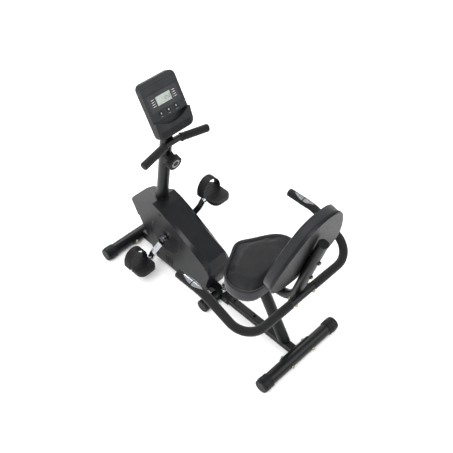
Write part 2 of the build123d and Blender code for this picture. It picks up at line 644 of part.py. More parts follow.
def pedal_strap():
    """Arched strap from one side of the foot plate to the other."""
    reach = PEDAL_W / 2 + SOFT_CLEAR
    upper = Pos(0, 200) * Rectangle(400, 400)
    band = (Ellipse(reach + STRAP_THICK, STRAP_RISE + STRAP_THICK) - Ellipse(reach, STRAP_RISE)) & upper
    for end in (-1, 1):
        band += Pos(end * (reach + STRAP_THICK / 2), -PEDAL_H / 2) * Rectangle(STRAP_THICK, PEDAL_H)
    return along_x(band, STRAP_X - STRAP_W / 2, STRAP_X + STRAP_W / 2, PEDAL_H / 2)


for side in (-1, 1):
    hand = "left" if side > 0 else "right"
    angle = CRANK_DOWN if side > 0 else CRANK_DOWN + 180
    turn = Pos(CRANK_X, 0, CRANK_Z) * Rot(0, angle, 0)
    keep(hand + "_crank", turn * crank_arm(side))
    end_y = side * (CRANK_HUB_Y + CRANK_THICK)
    keep("crank_axle", rod((CRANK_X, end_y, CRANK_Z), (CRANK_X, end_y + side * 6, CRANK_Z), 11.0))
    inner_y, outer_y = sorted((side * (CRANK_END_Y - CRANK_THICK), side * spindle_out))
    spindle = cross(CRANK_R, 0, SPINDLE_R, inner_y, outer_y)
    keep("pedal_spindles", turn * spindle)
    reach = math.radians(angle)
    pedal_x = CRANK_X + CRANK_R * math.cos(reach)
    pedal_z = CRANK_Z - CRANK_R * math.sin(reach)
    pedal_y = side * (CRANK_END_Y + PEDAL_GAP + PEDAL_W / 2)
    place = Pos(pedal_x, pedal_y, pedal_z)
    keep(hand + "_pedal", place * pedal())
    keep(hand + "_pedal_strap", place * pedal_strap())
    barrel_r = SPINDLE_R + PEDAL_BARREL
    weight = block(-26, 26, -30, 30, -barrel_r - WEIGHT_H, -barrel_r)
    weight += block(-26, -barrel_r - 2, -30, 30, -barrel_r, PEDAL_H / 2 - PEDAL_SKIN)
    keep(hand + "_pedal_weight", place * weight)

# ---------------------------------------------------------------- flywheel, belt and brake
plate_in = FLY_Y + FLY_W / 2 + 6
plate_out = -PULLEY_Y + PULLEY_W / 2 + 4
yoke_r = FLY_R + MAGNET_GAP + MAGNET_H
pivot_angle = math.radians(YOKE_ANGLES[1] + 14)
pivot_r = yoke_r + 6
pivot_x = FLY_X + pivot_r * math.cos(pivot_angle)
pivot_z = FLY_Z + pivot_r * math.sin(pivot_angle)

gap_x, gap_z = CRANK_X - FLY_X, CRANK_Z - FLY_Z
centres = math.hypot(gap_x, gap_z)
run_angle = math.atan2(gap_z, gap_x) - math.asin((PULLEY_R - FLY_PULLEY_R) / centres)
run_x, run_z = math.cos(run_angle), math.sin(run_angle)
idler_out = FLY_PULLEY_R + 2 * BELT_CLEAR + BELT + IDLER_R
idler_x = FLY_X + IDLER_ALONG * run_x + idler_out * run_z
idler_z = FLY_Z + IDLER_ALONG * run_z - idler_out * run_x

tie_z = sleeve_top + TIE_ROD_R
for y, out in ((plate_in, 1), (-plate_out, -1)):
    low, high = sorted((y, y + out * FLY_PLATE))
    corners = [(FLY_X + x, sleeve_top - 8, 4) for x in (-40, 40)]
    spots = corners + [(FLY_X, FLY_Z, 14), (pivot_x, pivot_z, 9)]
    if out < 0:
        spots.append((idler_x, idler_z, 9))
    web = slab(hull_of(*spots), low, high) - cross(FLY_X, FLY_Z, FLY_AXLE_R, low - 1, high + 1)
    web -= cross(pivot_x, pivot_z, 4.0, low - 1, high + 1)
    if out < 0:
        web -= cross(idler_x, idler_z, 4.0, low - 1, high + 1)
    for x in TIE_ROD_X:
        web -= cross(x, tie_z, TIE_ROD_R, low - 1, high + 1)
    foot_low, foot_high = sorted((out * sleeve_w / 2, y))
    web += block(FLY_X - 36, FLY_X + 36, foot_low, foot_high, sleeve_top - 14, sleeve_top - 6)
    keep("flywheel_bracket", web)
keep("drive_axles", cross(FLY_X, FLY_Z, FLY_AXLE_R, -plate_out - FLY_PLATE, plate_in + FLY_PLATE))
keep("drive_axles", cross(pivot_x, pivot_z, 4.0, -plate_out - FLY_PLATE, plate_in + FLY_PLATE))
keep("drive_axles", cross(idler_x, idler_z, 4.0, -plate_out - FLY_PLATE, PULLEY_Y + PULLEY_W / 2 + 3))

wheel = slab(Circle(FLY_R) - Circle(FLY_AXLE_R + RUN_CLEAR), -FLY_W / 2, FLY_W / 2)
for y in (-FLY_W / 2, FLY_W / 2 - 7):
    wheel -= slab(Circle(FLY_R - 16) - Circle(20), y, y + 7)
keep("flywheel", Pos(FLY_X, FLY_Y, FLY_Z) * wheel)
hub_low = PULLEY_Y - PULLEY_W / 2
keep("flywheel", Pos(FLY_X, 0, FLY_Z) * slab(Circle(FLY_PULLEY_R) - Circle(FLY_AXLE_R + RUN_CLEAR),
                                                   hub_low, FLY_Y - FLY_W / 2))
keep("idler_wheel", Pos(idler_x, 0, idler_z) * slab(Circle(IDLER_R) - Circle(4.0 + RUN_CLEAR),
                                                    hub_low, PULLEY_Y + PULLEY_W / 2))
belt_in = hull_of((CRANK_X, CRANK_Z, PULLEY_R + BELT_CLEAR), (FLY_X, FLY_Z, FLY_PULLEY_R + BELT_CLEAR))
belt_out = hull_of((CRANK_X, CRANK_Z, PULLEY_R + BELT_CLEAR + BELT),
                   (FLY_X, FLY_Z, FLY_PULLEY_R + BELT_CLEAR + BELT))
keep("drive_belt", slab(belt_out - belt_in, hub_low + 1, PULLEY_Y + PULLEY_W / 2 - 1))


def fan(radius_in, radius_out, low, high):
    """Ring sector between two angles, round the flywheel's centre, in the side view."""
    reach = 3 * radius_out
    middle = math.radians((low + high) / 2)
    low, high = math.radians(low), math.radians(high)
    wedge = make_face(Polyline((0, 0), (reach * math.cos(low), reach * math.sin(low)),
                               (reach * math.cos(middle), reach * math.sin(middle)),
                               (reach * math.cos(high), reach * math.sin(high)), close=True))
    return Pos(FLY_X, FLY_Z) * ((Circle(radius_out) - Circle(radius_in)) & wedge)


yoke_low, yoke_high = FLY_Y - FLY_W / 2 + 2, FLY_Y + FLY_W / 2 - 2
yoke = slab(fan(yoke_r, yoke_r + YOKE, *YOKE_ANGLES), yoke_low, yoke_high)
yoke += slab(hull_of((pivot_x, pivot_z, 8),
                     (FLY_X + (yoke_r + YOKE / 2) * math.cos(math.radians(YOKE_ANGLES[1] - 4)),
                      FLY_Z + (yoke_r + YOKE / 2) * math.sin(math.radians(YOKE_ANGLES[1] - 4)), YOKE / 2)),
             yoke_low, yoke_high)
keep("magnet_bracket", yoke - cross(pivot_x, pivot_z, 4.0 + RUN_CLEAR, -100, 100))
magnet_step = (YOKE_ANGLES[1] - YOKE_ANGLES[0]) / 5
for index in range(4):
    start = YOKE_ANGLES[0] + magnet_step * (index + 0.3)
    keep("magnet_bracket", slab(fan(yoke_r - MAGNET_H, yoke_r, start, start + magnet_step * 0.7),
                               yoke_low + 2, yoke_high - 2))

# ---------------------------------------------------------------- casing
# side view of the casing: one outline for its roof, one for the crease along its sides
CASE_FOOT_X = 468.0      # rear lower corner
CASE_TOE_X = 800.0       # front lower corner
rear_low = (CASE_FOOT_X, CASE_BOTTOM_Z)
rear_corner = (CASE_REAR_X, 170.0)
front_low = (CASE_TOE_X, CASE_BOTTOM_Z)
nose_low = (CASE_NOSE_X + 4, 250.0)
nose_high = (CASE_NOSE_X + 4, 272.0)
peak = (754.0, CASE_TOP_Z)
roof = [rear_low, rear_corner, (444.0, 234.0), (557.0, 277.0), (649.0, 320.0), (709.0, 345.0), peak]
crease = [rear_low, rear_corner, (447.0, 203.0), (557.0, 266.0), (645.0, 315.0), (706.0, 342.0), peak]
seam = [(400.0, 130.0), (481.0, 167.0), (573.0, 214.0), (637.0, 255.0), (708.0, 272.0), (786.0, 244.0),
        (940.0, 190.0)]


def case_side(points, inset):
    """Side outline of the casing, moved inward by an inset."""
    face = make_face(Polyline(*points, nose_high, nose_low, front_low, close=True))
    return offset(face, -inset, kind=Kind.INTERSECTION) if inset else face


def case_body(inset):
    """Solid casing without its hollow, moved inward by an inset."""
    half, half_roof = CASE_HALF_W - inset, CASE_ROOF_HALF_W - inset
    body = slab(case_side(roof, inset), -half_roof, half_roof)
    for way in (-1, 1):
        middle = Plane(origin=(0, way * half_roof, 0), x_dir=(1, 0, 0), z_dir=(0, -1, 0))
        edge = Plane(origin=(0, way * half, 0), x_dir=(1, 0, 0), z_dir=(0, -1, 0))
        body += loft([middle * case_side(roof, inset), edge * case_side(crease, inset)], ruled=True)
    slope = Vector(nose_low[0] - front_low[0], 0, nose_low[1] - front_low[1])
    plan = Pos(CASE_TOE_X - NOSE_R, 0) * Circle(NOSE_R - inset)
    plan += Pos(CASE_TOE_X - NOSE_R - 300, 0) * Rectangle(600, 2 * (NOSE_R - inset))
    nose = extrude(Pos(0, 0, -200) * (Pos(-slope.X / slope.Z * (CASE_BOTTOM_Z + 200), 0) * plan),
                   900, dir=slope.normalized())
    return body & nose


def above_seam(drop):
    """Everything over the seam line, with the line moved down by a drop."""
    line = [(x, z - drop) for x, z in seam]
    return slab(make_face(Polyline(*line, (1000, 600), (300, 600), close=True)), -200, 200)


hood = (case_body(0) - case_body(CASE_WALL)) & above_seam(0)
shell_out = case_body(CASE_STEP)
shell_in = case_body(CASE_STEP + CASE_WALL)
shells = (shell_out - shell_in) - above_seam(-CASE_OVERLAP)
post_room = rod(post_at(0), post_at(600), POST_R + CASE_CLEAR)
hood -= post_room
shells -= block(0, 1200, -sleeve_w / 2 - CASE_CLEAR, sleeve_w / 2 + CASE_CLEAR, 0, sleeve_top + CASE_CLEAR)
shells -= cross(CRANK_X, CRANK_Z, AXLE_R + 4, -200, 200)
shell_face = CASE_HALF_W - CASE_STEP
for x in TIE_ROD_X:
    z = tie_z
    keep("flywheel_bracket", cross(x, z, TIE_ROD_R, -shell_face + CASE_WALL, shell_face - CASE_WALL))
    for side in (-1, 1):
        low, high = sorted((side * (shell_face - CASE_WALL), side * shell_face))
        shells -= cross(x, z, CASE_SCREW_R, low, high)
        head_low, head_high = sorted((side * shell_face, side * (shell_face + 2.5)))
        keep("housing_screws", cross(x, z, CASE_SCREW_R, low, high) + cross(x, z, 5.0, head_low, head_high))
for x, z in HOOD_SCREWS:
    for side in (-1, 1):
        low, high = sorted((side * (CASE_HALF_W - CASE_WALL), side * CASE_HALF_W))
        hood -= cross(x, z, CASE_SCREW_R, low, high)
        head_low, head_high = sorted((side * CASE_HALF_W, side * (CASE_HALF_W + 2.0)))
        keep("housing_screws", cross(x, z, CASE_SCREW_R, low, high) + cross(x, z, 4.5, head_low, head_high))
for index in range(VENT_COUNT):
    x = VENT_X + (index - (VENT_COUNT - 1) / 2) * VENT_PITCH
    shells -= block(x - VENT_W / 2, x + VENT_W / 2, -200, 200, 72 - VENT_H / 2, 72 + VENT_H / 2)
keep("casing_hood", hood.solids().sort_by(SortBy.VOLUME)[-1])
for hand, side in (("left", 1), ("right", -1)):
    half_space = block(0, 1200, min(0, side * 200), max(0, side * 200), -10, 700)
    shell = (shells & half_space).solids().sort_by(SortBy.VOLUME)[-1]
    keep(hand + "_casing", shell)
collar_z = CASE_TOP_Z - COLLAR_SUNK
collar = rod(post_at(collar_z), post_at(collar_z + COLLAR_H), COLLAR_R, POST_R + SOCKET_CLEAR)
keep("post_collar", collar - case_body(0))

# ---------------------------------------------------------------- console and its frame
lean = math.radians(POST_LEAN)
post_axis = Vector(-math.sin(lean), 0, math.cos(lean))
tilt = math.radians(CONSOLE_TILT)
face_plane = Plane(origin=(CONSOLE_TOP_X, 0, CONSOLE_TOP_Z), x_dir=(0, 1, 0),
                   z_dir=(-math.sin(tilt), 0, math.cos(tilt)))


def on_face(sketch, low, high):
    """Extrude a sketch (y across, distance down the face) between two heights over the face."""
    return extrude(face_plane.offset(low) * sketch, high - low)


outline = Pos(0, CONSOLE_LENGTH / 2) * RectangleRounded(2 * CONSOLE_HALF_W, CONSOLE_LENGTH, CONSOLE_CORNER)
cavity = Pos(0, TRAY_DOWN / 2) * RectangleRounded(2 * (CONSOLE_HALF_W - CONSOLE_WALL),
                                                  TRAY_DOWN - 2 * CONSOLE_WALL, CAVITY_CORNER)
lcd_at = Pos(0, LCD_DOWN)
front = on_face(outline, -CONSOLE_FRONT, 0) - on_face(cavity, -CONSOLE_FRONT, -CONSOLE_WALL)
front -= on_face(lcd_at * Rectangle(LCD_W, LCD_H), -CONSOLE_WALL, 0)
slot = Pos(0, (TRAY_DOWN + TRAY_BOTTOM) / 2) * Rectangle(2 * TRAY_HALF_W, TRAY_BOTTOM - TRAY_DOWN)
front -= on_face(slot, -TRAY_LIP - TRAY_SLOT, -TRAY_LIP)
lip_r = (TRAY_HALF_W ** 2 + TRAY_SAG ** 2) / (2 * TRAY_SAG)
hollow = (Pos(0, TRAY_DOWN + TRAY_SAG - lip_r) * Circle(lip_r)) & slot
lip_middle = (TRAY_DOWN + CONSOLE_LENGTH) / 2
lip_band = Pos(0, lip_middle) * Rectangle(2 * CONSOLE_HALF_W, CONSOLE_LENGTH - TRAY_DOWN)
front -= on_face(lip_band, -TRAY_LIP, 0)
lip_plane = Plane(origin=face_plane.origin, x_dir=face_plane.y_dir, z_dir=(0, 1, 0))
lip_side = make_face(Polyline((TRAY_DOWN, -TRAY_LIP), (TRAY_DOWN, TRAY_STANDOFF), (CONSOLE_LENGTH, 0),
                              (CONSOLE_LENGTH, -TRAY_LIP), close=True))
inner = TRAY_STANDOFF - TRAY_LIP_WALL
pocket_side = make_face(Polyline((TRAY_DOWN, -TRAY_LIP), (TRAY_DOWN, inner), (TRAY_BOTTOM, 0),
                                 (TRAY_BOTTOM, -TRAY_LIP), close=True))
lip = extrude(lip_plane * lip_side, CONSOLE_HALF_W, both=True)
lip &= on_face((outline & lip_band) - hollow, -TRAY_LIP, TRAY_STANDOFF)
lip -= extrude(lip_plane * pocket_side, TRAY_HALF_W, both=True)
keep("tray_lip", lip.solids().sort_by(SortBy.VOLUME)[-1])
board_z = -CONSOLE_WALL - BOSS_H
for x in (-BOSS_HALF_X, BOSS_HALF_X):
    for down in BOSS_DOWN:
        front += on_face(Pos(x, down) * Circle(BOSS_R), board_z, -CONSOLE_WALL)
keep("display_lens", on_face(lcd_at * Rectangle(LCD_W - 0.4, LCD_H - 0.4), -CONSOLE_WALL + 0.3, -0.4))
module = lcd_at * Rectangle(LCD_W + MODULE_EDGE, LCD_H + MODULE_EDGE)
board = Pos(0, sum(BOSS_DOWN) / 2) * Rectangle(BOARD_W, BOARD_H)
keep("circuit_board", on_face(module, board_z, -CONSOLE_WALL - MODULE_GAP))
keep("circuit_board", on_face(board, board_z - BOARD_THICK, board_z))
for index, name in enumerate(("right", "middle", "left")):
    at = Pos((index - 1) * KEY_PITCH, KEY_DOWN)
    front -= on_face(at * Circle(KEY_R + KEY_CLEAR), -CONSOLE_WALL, 0)
    key = on_face(at * Circle(KEY_R), -CONSOLE_WALL - KEY_CLEAR, KEY_PROUD)
    key += on_face(at * Circle(KEY_R + 1.5), -CONSOLE_WALL - KEY_CLEAR - 1.5, -CONSOLE_WALL - KEY_CLEAR)
    keep(name + "_button", key)

back = on_face(outline, -CONSOLE_FRONT - CONSOLE_BACK, -CONSOLE_FRONT)
rim = back.edges().filter_by(lambda e: abs(face_plane.to_local_coords(e.center()).Z
                                           + CONSOLE_FRONT + CONSOLE_BACK) < 0.01)
back = chamfer(rim, BACK_CHAMFER)
back_room = Pos(0, CONSOLE_LENGTH / 2) * RectangleRounded(2 * (CONSOLE_HALF_W - BACK_RIM),
                                                          CONSOLE_LENGTH - 2 * BACK_RIM, BACK_RIM_CORNER)
back -= on_face(back_room, -CONSOLE_FRONT - CONSOLE_BACK + CONSOLE_WALL, -CONSOLE_FRONT)
back -= rod(post_at(650), post_at(900), POST_R + CASE_CLEAR)
plate_low = -CONSOLE_FRONT - CONSOLE_PLATE_SUNK
pierce = (face_plane.origin - post_at(600)).dot(face_plane.z_dir) + plate_low
top_point = post_at(600) + post_axis * (pierce / post_axis.dot(face_plane.z_dir))
plate_down = face_plane.to_local_coords(top_point).Y
plate_outline = Pos(0, plate_down) * RectangleRounded(*CONSOLE_PLATE, PLATE_CORNER)
console_plate = on_face(plate_outline, plate_low, plate_low + CONSOLE_PLATE_THICK)
back -= on_face(offset(plate_outline, CASE_CLEAR), plate_low - CASE_CLEAR, -CONSOLE_FRONT)
low_screws = (CONSOLE_HALF_W - CASE_LOW_SCREW_SIDE, CONSOLE_LENGTH - CASE_SCREW_SIDE)
for half, down in ((CONSOLE_HALF_W - CASE_SCREW_SIDE, CASE_SCREW_DOWN), low_screws):
    for x in (-half, half):
        screw = on_face(Pos(x, down) * Circle(BACK_SCREW_R), -CONSOLE_FRONT - BACK_SCREW_SEAT,
                        -CONSOLE_FRONT + BACK_SCREW_BITE)
        head = on_face(Pos(x, down) * Circle(BACK_HEAD_R), -CONSOLE_FRONT - CONSOLE_BACK,
                       -CONSOLE_FRONT - BACK_SCREW_SEAT)
        if down < TRAY_DOWN:
            front += on_face(Pos(x, down) * Circle(BOSS_R), -CONSOLE_FRONT, -CONSOLE_WALL)
        front -= screw
        back -= screw + head
        keep("housing_screws", screw + head)
keep("console_front", front)
keep("console_back", back)
keep("console_post", console_plate)

# handlebar: its middle sits in a shallow cope in the post, arms out and back to the grips
end_x, end_y, end_z = HANDLE_END
handle_half = [(end_x, end_y, end_z), (HANDLE_X, HANDLE_HALF_MIDDLE, HANDLE_Z)]
handle_points = handle_half + [(x, -y, z) for x, y, z in reversed(handle_half)]
keep("handlebar", bent(handle_points, [HANDLE_BEND_R] * 2, HANDLE_R, HANDLE_R - TUBE_WALL))

# the post, cut off under the console's plate, coped for the handlebar
post = rod(post_at(SOCKET_LOW_Z + 6), top_point + post_axis * 60, POST_R, POST_R - TUBE_WALL)
post -= on_face(Pos(0, 100) * Rectangle(400, 600), plate_low, plate_low + 200)
post -= bent(handle_points, [HANDLE_BEND_R] * 2, HANDLE_R)
knob_base = post_at(KNOB_Z)
knob_axis = Vector(-math.cos(lean), 0, -math.sin(lean))
stem_from = knob_base + knob_axis * 2
post -= rod(stem_from, knob_base + knob_axis * (POST_R + 5), KNOB_STEM_R + 1)

for side in (-1, 1):
    tip = Vector(end_x, side * end_y, end_z)
    inward = (Vector(HANDLE_X, side * HANDLE_HALF_MIDDLE, HANDLE_Z) - tip).normalized()
    grip = rod(tip - inward * 3, tip + inward * HANDLE_GRIP, HANDLE_GRIP_R)
    grip -= rod(tip, tip + inward * 200, HANDLE_R)
    keep("handlebar_grips", grip)

# tension knob, its housing and stem
housing_plane = Plane(origin=knob_base, x_dir=(0, 1, 0), z_dir=knob_axis)
base_face = housing_plane.offset(6) * RectangleRounded(HOUSING_W, HOUSING_H, HOUSING_CORNER)
tip_face = housing_plane.offset(POST_R + HOUSING_OUT) * RectangleRounded(HOUSING_W - 10, HOUSING_H - 16, 10)
knob_house = loft([base_face, tip_face]) - rod(post_at(500), post_at(700), POST_R)
stem_end = POST_R + HOUSING_OUT + KNOB_LENGTH
knob_house -= rod(knob_base, knob_base + knob_axis * 80, KNOB_STEM_R + RUN_CLEAR)
keep("knob_housing", knob_house.solids().sort_by(SortBy.VOLUME)[-1])
knob_low = POST_R + HOUSING_OUT + SOFT_CLEAR
knob = extrude(housing_plane.offset(knob_low) * Circle(KNOB_R), KNOB_LENGTH, taper=4)
for index in range(KNOB_FLUTES):
    around = math.radians(360 / KNOB_FLUTES * index)
    at = Pos((KNOB_R + 1.5) * math.cos(around), (KNOB_R + 1.5) * math.sin(around))
    knob -= extrude(housing_plane.offset(knob_low - 1) * (at * Circle(4.0)), KNOB_LENGTH + 2)
keep("tension_knob", knob - rod(knob_base, knob_base + knob_axis * (knob_low + 12), KNOB_STEM_R))
keep("knob_spindle", rod(knob_base + knob_axis * 2, knob_base + knob_axis * (knob_low + 12), KNOB_STEM_R))
drum = rod(knob_base - knob_axis * 4, knob_base + knob_axis * 2, KNOB_DRUM_R)
keep("knob_spindle", drum)

# tension cable: down inside the post, out through its wall and back to the magnet bracket
yoke_top = math.radians(sum(YOKE_ANGLES) / 2 - 10)
anchor_r = yoke_r + YOKE + CABLE_STANDOFF
anchor = Vector(FLY_X + anchor_r * math.cos(yoke_top), FLY_Y, FLY_Z + anchor_r * math.sin(yoke_top))
cable_top = post_at(KNOB_Z - KNOB_DRUM_R - CASE_CLEAR)
cable_turn = post_at(SOCKET_TOP_Z + 20)
cable_points = [cable_top, cable_turn, Vector(CRANK_X + 20, 0, SOCKET_TOP_Z - 8),
                anchor + Vector(38, 0, 38), anchor]
cable_bends = [16.0, 40.0, 30.0]
keep("tension_cable", bent([tuple(p) for p in cable_points], cable_bends, CABLE_R))
post -= bent([tuple(p) for p in cable_points], cable_bends, CABLE_R + SOFT_CLEAR)
keep("console_post", post.solids().sort_by(SortBy.VOLUME)[-1])

# ---------------------------------------------------------------- write the parts
boxes = [solid.bounding_box() for solids in nodes.values() for solid in solids]
middle_x = (min(b.min.X for b in boxes) + max(b.max.X for b in boxes)) / 2
for name, solids in sorted(nodes.items()):
    moved = [Pos(-middle_x, 0, 0) * solid for solid in solids]
    export_step(moved[0] if len(moved) == 1 else Compound(children=moved), f"parts/{name}.step")
print("nodes", len(nodes), "origin moved by", round(middle_x, 4))
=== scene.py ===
"""Recumbent exercise bike: finishes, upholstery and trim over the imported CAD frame.

Metres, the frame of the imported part: +X forward, +Y the rider's left, +Z up.
"""
import json
import math
import bmesh
import bpy
import numpy as np
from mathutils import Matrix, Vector


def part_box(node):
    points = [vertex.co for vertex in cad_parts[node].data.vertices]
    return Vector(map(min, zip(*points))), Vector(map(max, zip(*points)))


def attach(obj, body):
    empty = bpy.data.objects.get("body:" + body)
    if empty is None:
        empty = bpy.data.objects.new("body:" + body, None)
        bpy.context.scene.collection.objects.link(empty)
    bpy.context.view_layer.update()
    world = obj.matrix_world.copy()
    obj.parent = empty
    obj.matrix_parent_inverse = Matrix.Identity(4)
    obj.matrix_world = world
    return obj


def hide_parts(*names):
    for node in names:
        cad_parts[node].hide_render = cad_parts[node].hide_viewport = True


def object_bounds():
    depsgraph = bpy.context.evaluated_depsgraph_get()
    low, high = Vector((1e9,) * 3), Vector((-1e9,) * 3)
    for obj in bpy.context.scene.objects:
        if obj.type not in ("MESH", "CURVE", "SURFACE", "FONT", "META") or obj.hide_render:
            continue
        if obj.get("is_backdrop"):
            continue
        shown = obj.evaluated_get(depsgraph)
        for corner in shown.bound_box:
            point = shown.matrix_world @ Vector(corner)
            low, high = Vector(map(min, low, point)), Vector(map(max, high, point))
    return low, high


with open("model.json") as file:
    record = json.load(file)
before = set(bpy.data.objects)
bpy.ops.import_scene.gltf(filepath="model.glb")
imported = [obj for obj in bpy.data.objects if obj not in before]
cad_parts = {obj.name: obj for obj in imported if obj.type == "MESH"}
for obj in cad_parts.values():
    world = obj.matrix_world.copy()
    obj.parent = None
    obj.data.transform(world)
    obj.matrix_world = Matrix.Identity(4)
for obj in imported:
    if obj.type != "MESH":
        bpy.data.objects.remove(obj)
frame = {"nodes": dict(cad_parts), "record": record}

cad_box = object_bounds()
MM = 0.001
METAL_LEVEL = 0.5        # specular level of the metals
DULL_LEVEL = 0.2         # specular level of everything else, which keeps the blacks deep


# ---------------------------------------------------------------- material helpers
def linear(hex_colour):
    """sRGB hex, such as "2a2b2d", to linear RGBA."""
    channels = [int(hex_colour[i:i + 2], 16) / 255 for i in (0, 2, 4)]
    return [c / 12.92 if c <= 0.04045 else ((c + 0.055) / 1.055) ** 2.4 for c in channels] + [1.0]


def add(tree, kind, settings=None, links=None, **values):
    """Adds a node: settings are its properties, values its inputs, links its inputs' sources."""
    node = tree.nodes.new(kind)
    for name, value in (settings or {}).items():
        setattr(node, name, value)
    for name, value in values.items():
        node.inputs[name.replace("_", " ")].default_value = value
    for name, source in (links or {}).items():
        tree.links.new(source, node.inputs[name])
    return node


def finish(name, colour, roughness, metallic=0.0, **shader):
    """A new material with its Principled shader; returns material, tree and shader."""
    material = bpy.data.materials.new(name)
    material.use_nodes = True
    tree = material.node_tree
    bsdf = tree.nodes["Principled BSDF"]
    bsdf.inputs["Base Color"].default_value = linear(colour)
    bsdf.inputs["Roughness"].default_value = roughness
    bsdf.inputs["Metallic"].default_value = metallic
    bsdf.inputs["Specular IOR Level"].default_value = METAL_LEVEL if metallic else DULL_LEVEL
    for socket, value in shader.items():
        bsdf.inputs[socket.replace("_", " ")].default_value = value
    material.diffuse_color = linear(colour)
    return material, tree, bsdf


def object_point(tree):
    """Object coordinates, in metres."""
    return add(tree, "ShaderNodeTexCoord").outputs["Object"]


def relief(tree, bsdf, height, depth, strength):
    """Bump of a height field, as deep as depth metres, into the shader."""
    bump = add(tree, "ShaderNodeBump", links={"Height": height}, Strength=strength, Distance=depth)
    tree.links.new(bump.outputs["Normal"], bsdf.inputs["Normal"])


def speckle(tree, size, detail=2.0, rough=0.5):
    """Noise whose features are about size metres across."""
    noise = add(tree, "ShaderNodeTexNoise", links={"Vector": object_point(tree)}, Scale=1 / size,
                Detail=detail, Roughness=rough)
    return noise.outputs["Fac"]


def spread(tree, source, low, high, to_low, to_high):
    """Maps a value from one range to another, clamped."""
    node = add(tree, "ShaderNodeMapRange", links={"Value": source}, From_Min=low, From_Max=high,
               To_Min=to_low, To_Max=to_high)
    return node.outputs["Result"]


def uneven(tree, size, detail, low, high):
    """A value that wanders between low and high over patches about size metres across."""
    return spread(tree, speckle(tree, size, detail), 0.3, 0.7, low, high)


MIX_FACTOR, MIX_DARK, MIX_LIGHT, MIX_RESULT = 0, 6, 7, 2     # the Mix node's sockets for colours


def two_tone(tree, bsdf, fac, dark, light):
    """Base colour between two hex colours."""
    mix = add(tree, "ShaderNodeMix", {"data_type": "RGBA"})
    mix.inputs[MIX_DARK].default_value = linear(dark)
    mix.inputs[MIX_LIGHT].default_value = linear(light)
    tree.links.new(fac, mix.inputs[MIX_FACTOR])
    tree.links.new(mix.outputs[MIX_RESULT], bsdf.inputs["Base Color"])


# ---------------------------------------------------------------- finishes
def powder_coat():
    """Black polyester powder coat, sprayed and baked: satin, with a faint orange peel 1.5 mm across."""
    material, tree, bsdf = finish("powder_coat_black", "0b0c0d", 0.34, IOR=1.5, Coat_Weight=0.05,
                                  Coat_Roughness=0.25)
    relief(tree, bsdf, speckle(tree, 1.5 * MM, 1.0), 0.05 * MM, 0.35)
    two_tone(tree, bsdf, spread(tree, speckle(tree, 60 * MM, 3.0), 0.35, 0.65, 0, 1), "08090a", "0e0f11")
    tree.links.new(uneven(tree, 9 * MM, 3.0, 0.30, 0.40), bsdf.inputs["Roughness"])
    return material


def moulded(name, dark, light, low, high, grain=0.7, depth=0.06):
    """Injection-moulded plastic with a spark-eroded grain: two close tones and an uneven gloss."""
    material, tree, bsdf = finish(name, light, (low + high) / 2, IOR=1.49)
    relief(tree, bsdf, speckle(tree, grain * MM, 2.0, 0.6), depth * MM, 0.5)
    two_tone(tree, bsdf, uneven(tree, 45 * MM, 4.0, 0, 1), dark, light)
    tree.links.new(uneven(tree, 7 * MM, 3.0, low, high), bsdf.inputs["Roughness"])
    return material


def grip_foam():
    """Closed-cell NBR foam: matt black, with pores about 1.3 mm across."""
    material, tree, bsdf = finish("nbr_foam", "0d0d0f", 0.72, IOR=1.47, Sheen_Weight=0.12,
                                  Sheen_Roughness=0.5)
    pores = add(tree, "ShaderNodeTexVoronoi", links={"Vector": object_point(tree)}, Scale=1 / (1.3 * MM))
    relief(tree, bsdf, pores.outputs["Distance"], 0.25 * MM, 0.5)
    two_tone(tree, bsdf, uneven(tree, 30 * MM, 3.0, 0, 1), "0b0b0d", "111113")
    return material


def vinyl(name, dark, light, low, high, grain):
    """PVC upholstery with an embossed leather grain: cells grain mm across, softly glossy; the grain's crease
    lines are also painted darker, as painted shade.
    """
    material, tree, bsdf = finish(name, light, (low + high) / 2, IOR=1.5, Sheen_Weight=0.08,
                                  Sheen_Roughness=0.4)
    cells = add(tree, "ShaderNodeTexVoronoi", {"feature": "DISTANCE_TO_EDGE"},
                links={"Vector": object_point(tree)}, Scale=1 / (grain * MM))
    creases_and_shade = spread(tree, cells.outputs["Distance"], 0.0, 0.25, 0.0, 1.0)
    relief(tree, bsdf, creases_and_shade, 0.18 * MM, 0.6)
    # painted shade: the grain's crease lines are coloured darker than the cells
    two_tone(tree, bsdf, creases_and_shade, dark, light)
    tree.links.new(uneven(tree, 25 * MM, 3.0, low, high), bsdf.inputs["Roughness"])
    return material


def strap_rubber():
    """Moulded TPR strap: matt black with a fine dull bloom."""
    material, tree, bsdf = finish("tpr_strap", "0e0e10", 0.6, IOR=1.5)
    relief(tree, bsdf, speckle(tree, 0.8 * MM), 0.06 * MM, 0.5)
    two_tone(tree, bsdf, spread(tree, speckle(tree, 18 * MM, 4.0), 0.35, 0.65, 0, 1), "0b0b0d", "151517")
    return material


def bright_metal(name, dark, light, low, high, mark=3.0):
    """Plated or turned metal: two close tones, and a roughness that fine scuffs make uneven."""
    material, tree, bsdf = finish(name, light, (low + high) / 2, metallic=1.0)
    two_tone(tree, bsdf, uneven(tree, 14 * MM, 4.0, 0, 1), dark, light)
    tree.links.new(uneven(tree, mark * MM, 4.0, low, high), bsdf.inputs["Roughness"])
    return material


def cast_iron():
    """Sand-cast iron, painted dark: dull and pitted at 2 mm."""
    material, tree, bsdf = finish("cast_iron", "2c2d2f", 0.6, metallic=0.6)
    relief(tree, bsdf, speckle(tree, 2 * MM, 4.0), 0.2 * MM, 0.6)
    two_tone(tree, bsdf, uneven(tree, 12 * MM, 4.0, 0, 1), "242527", "37383b")
    return material


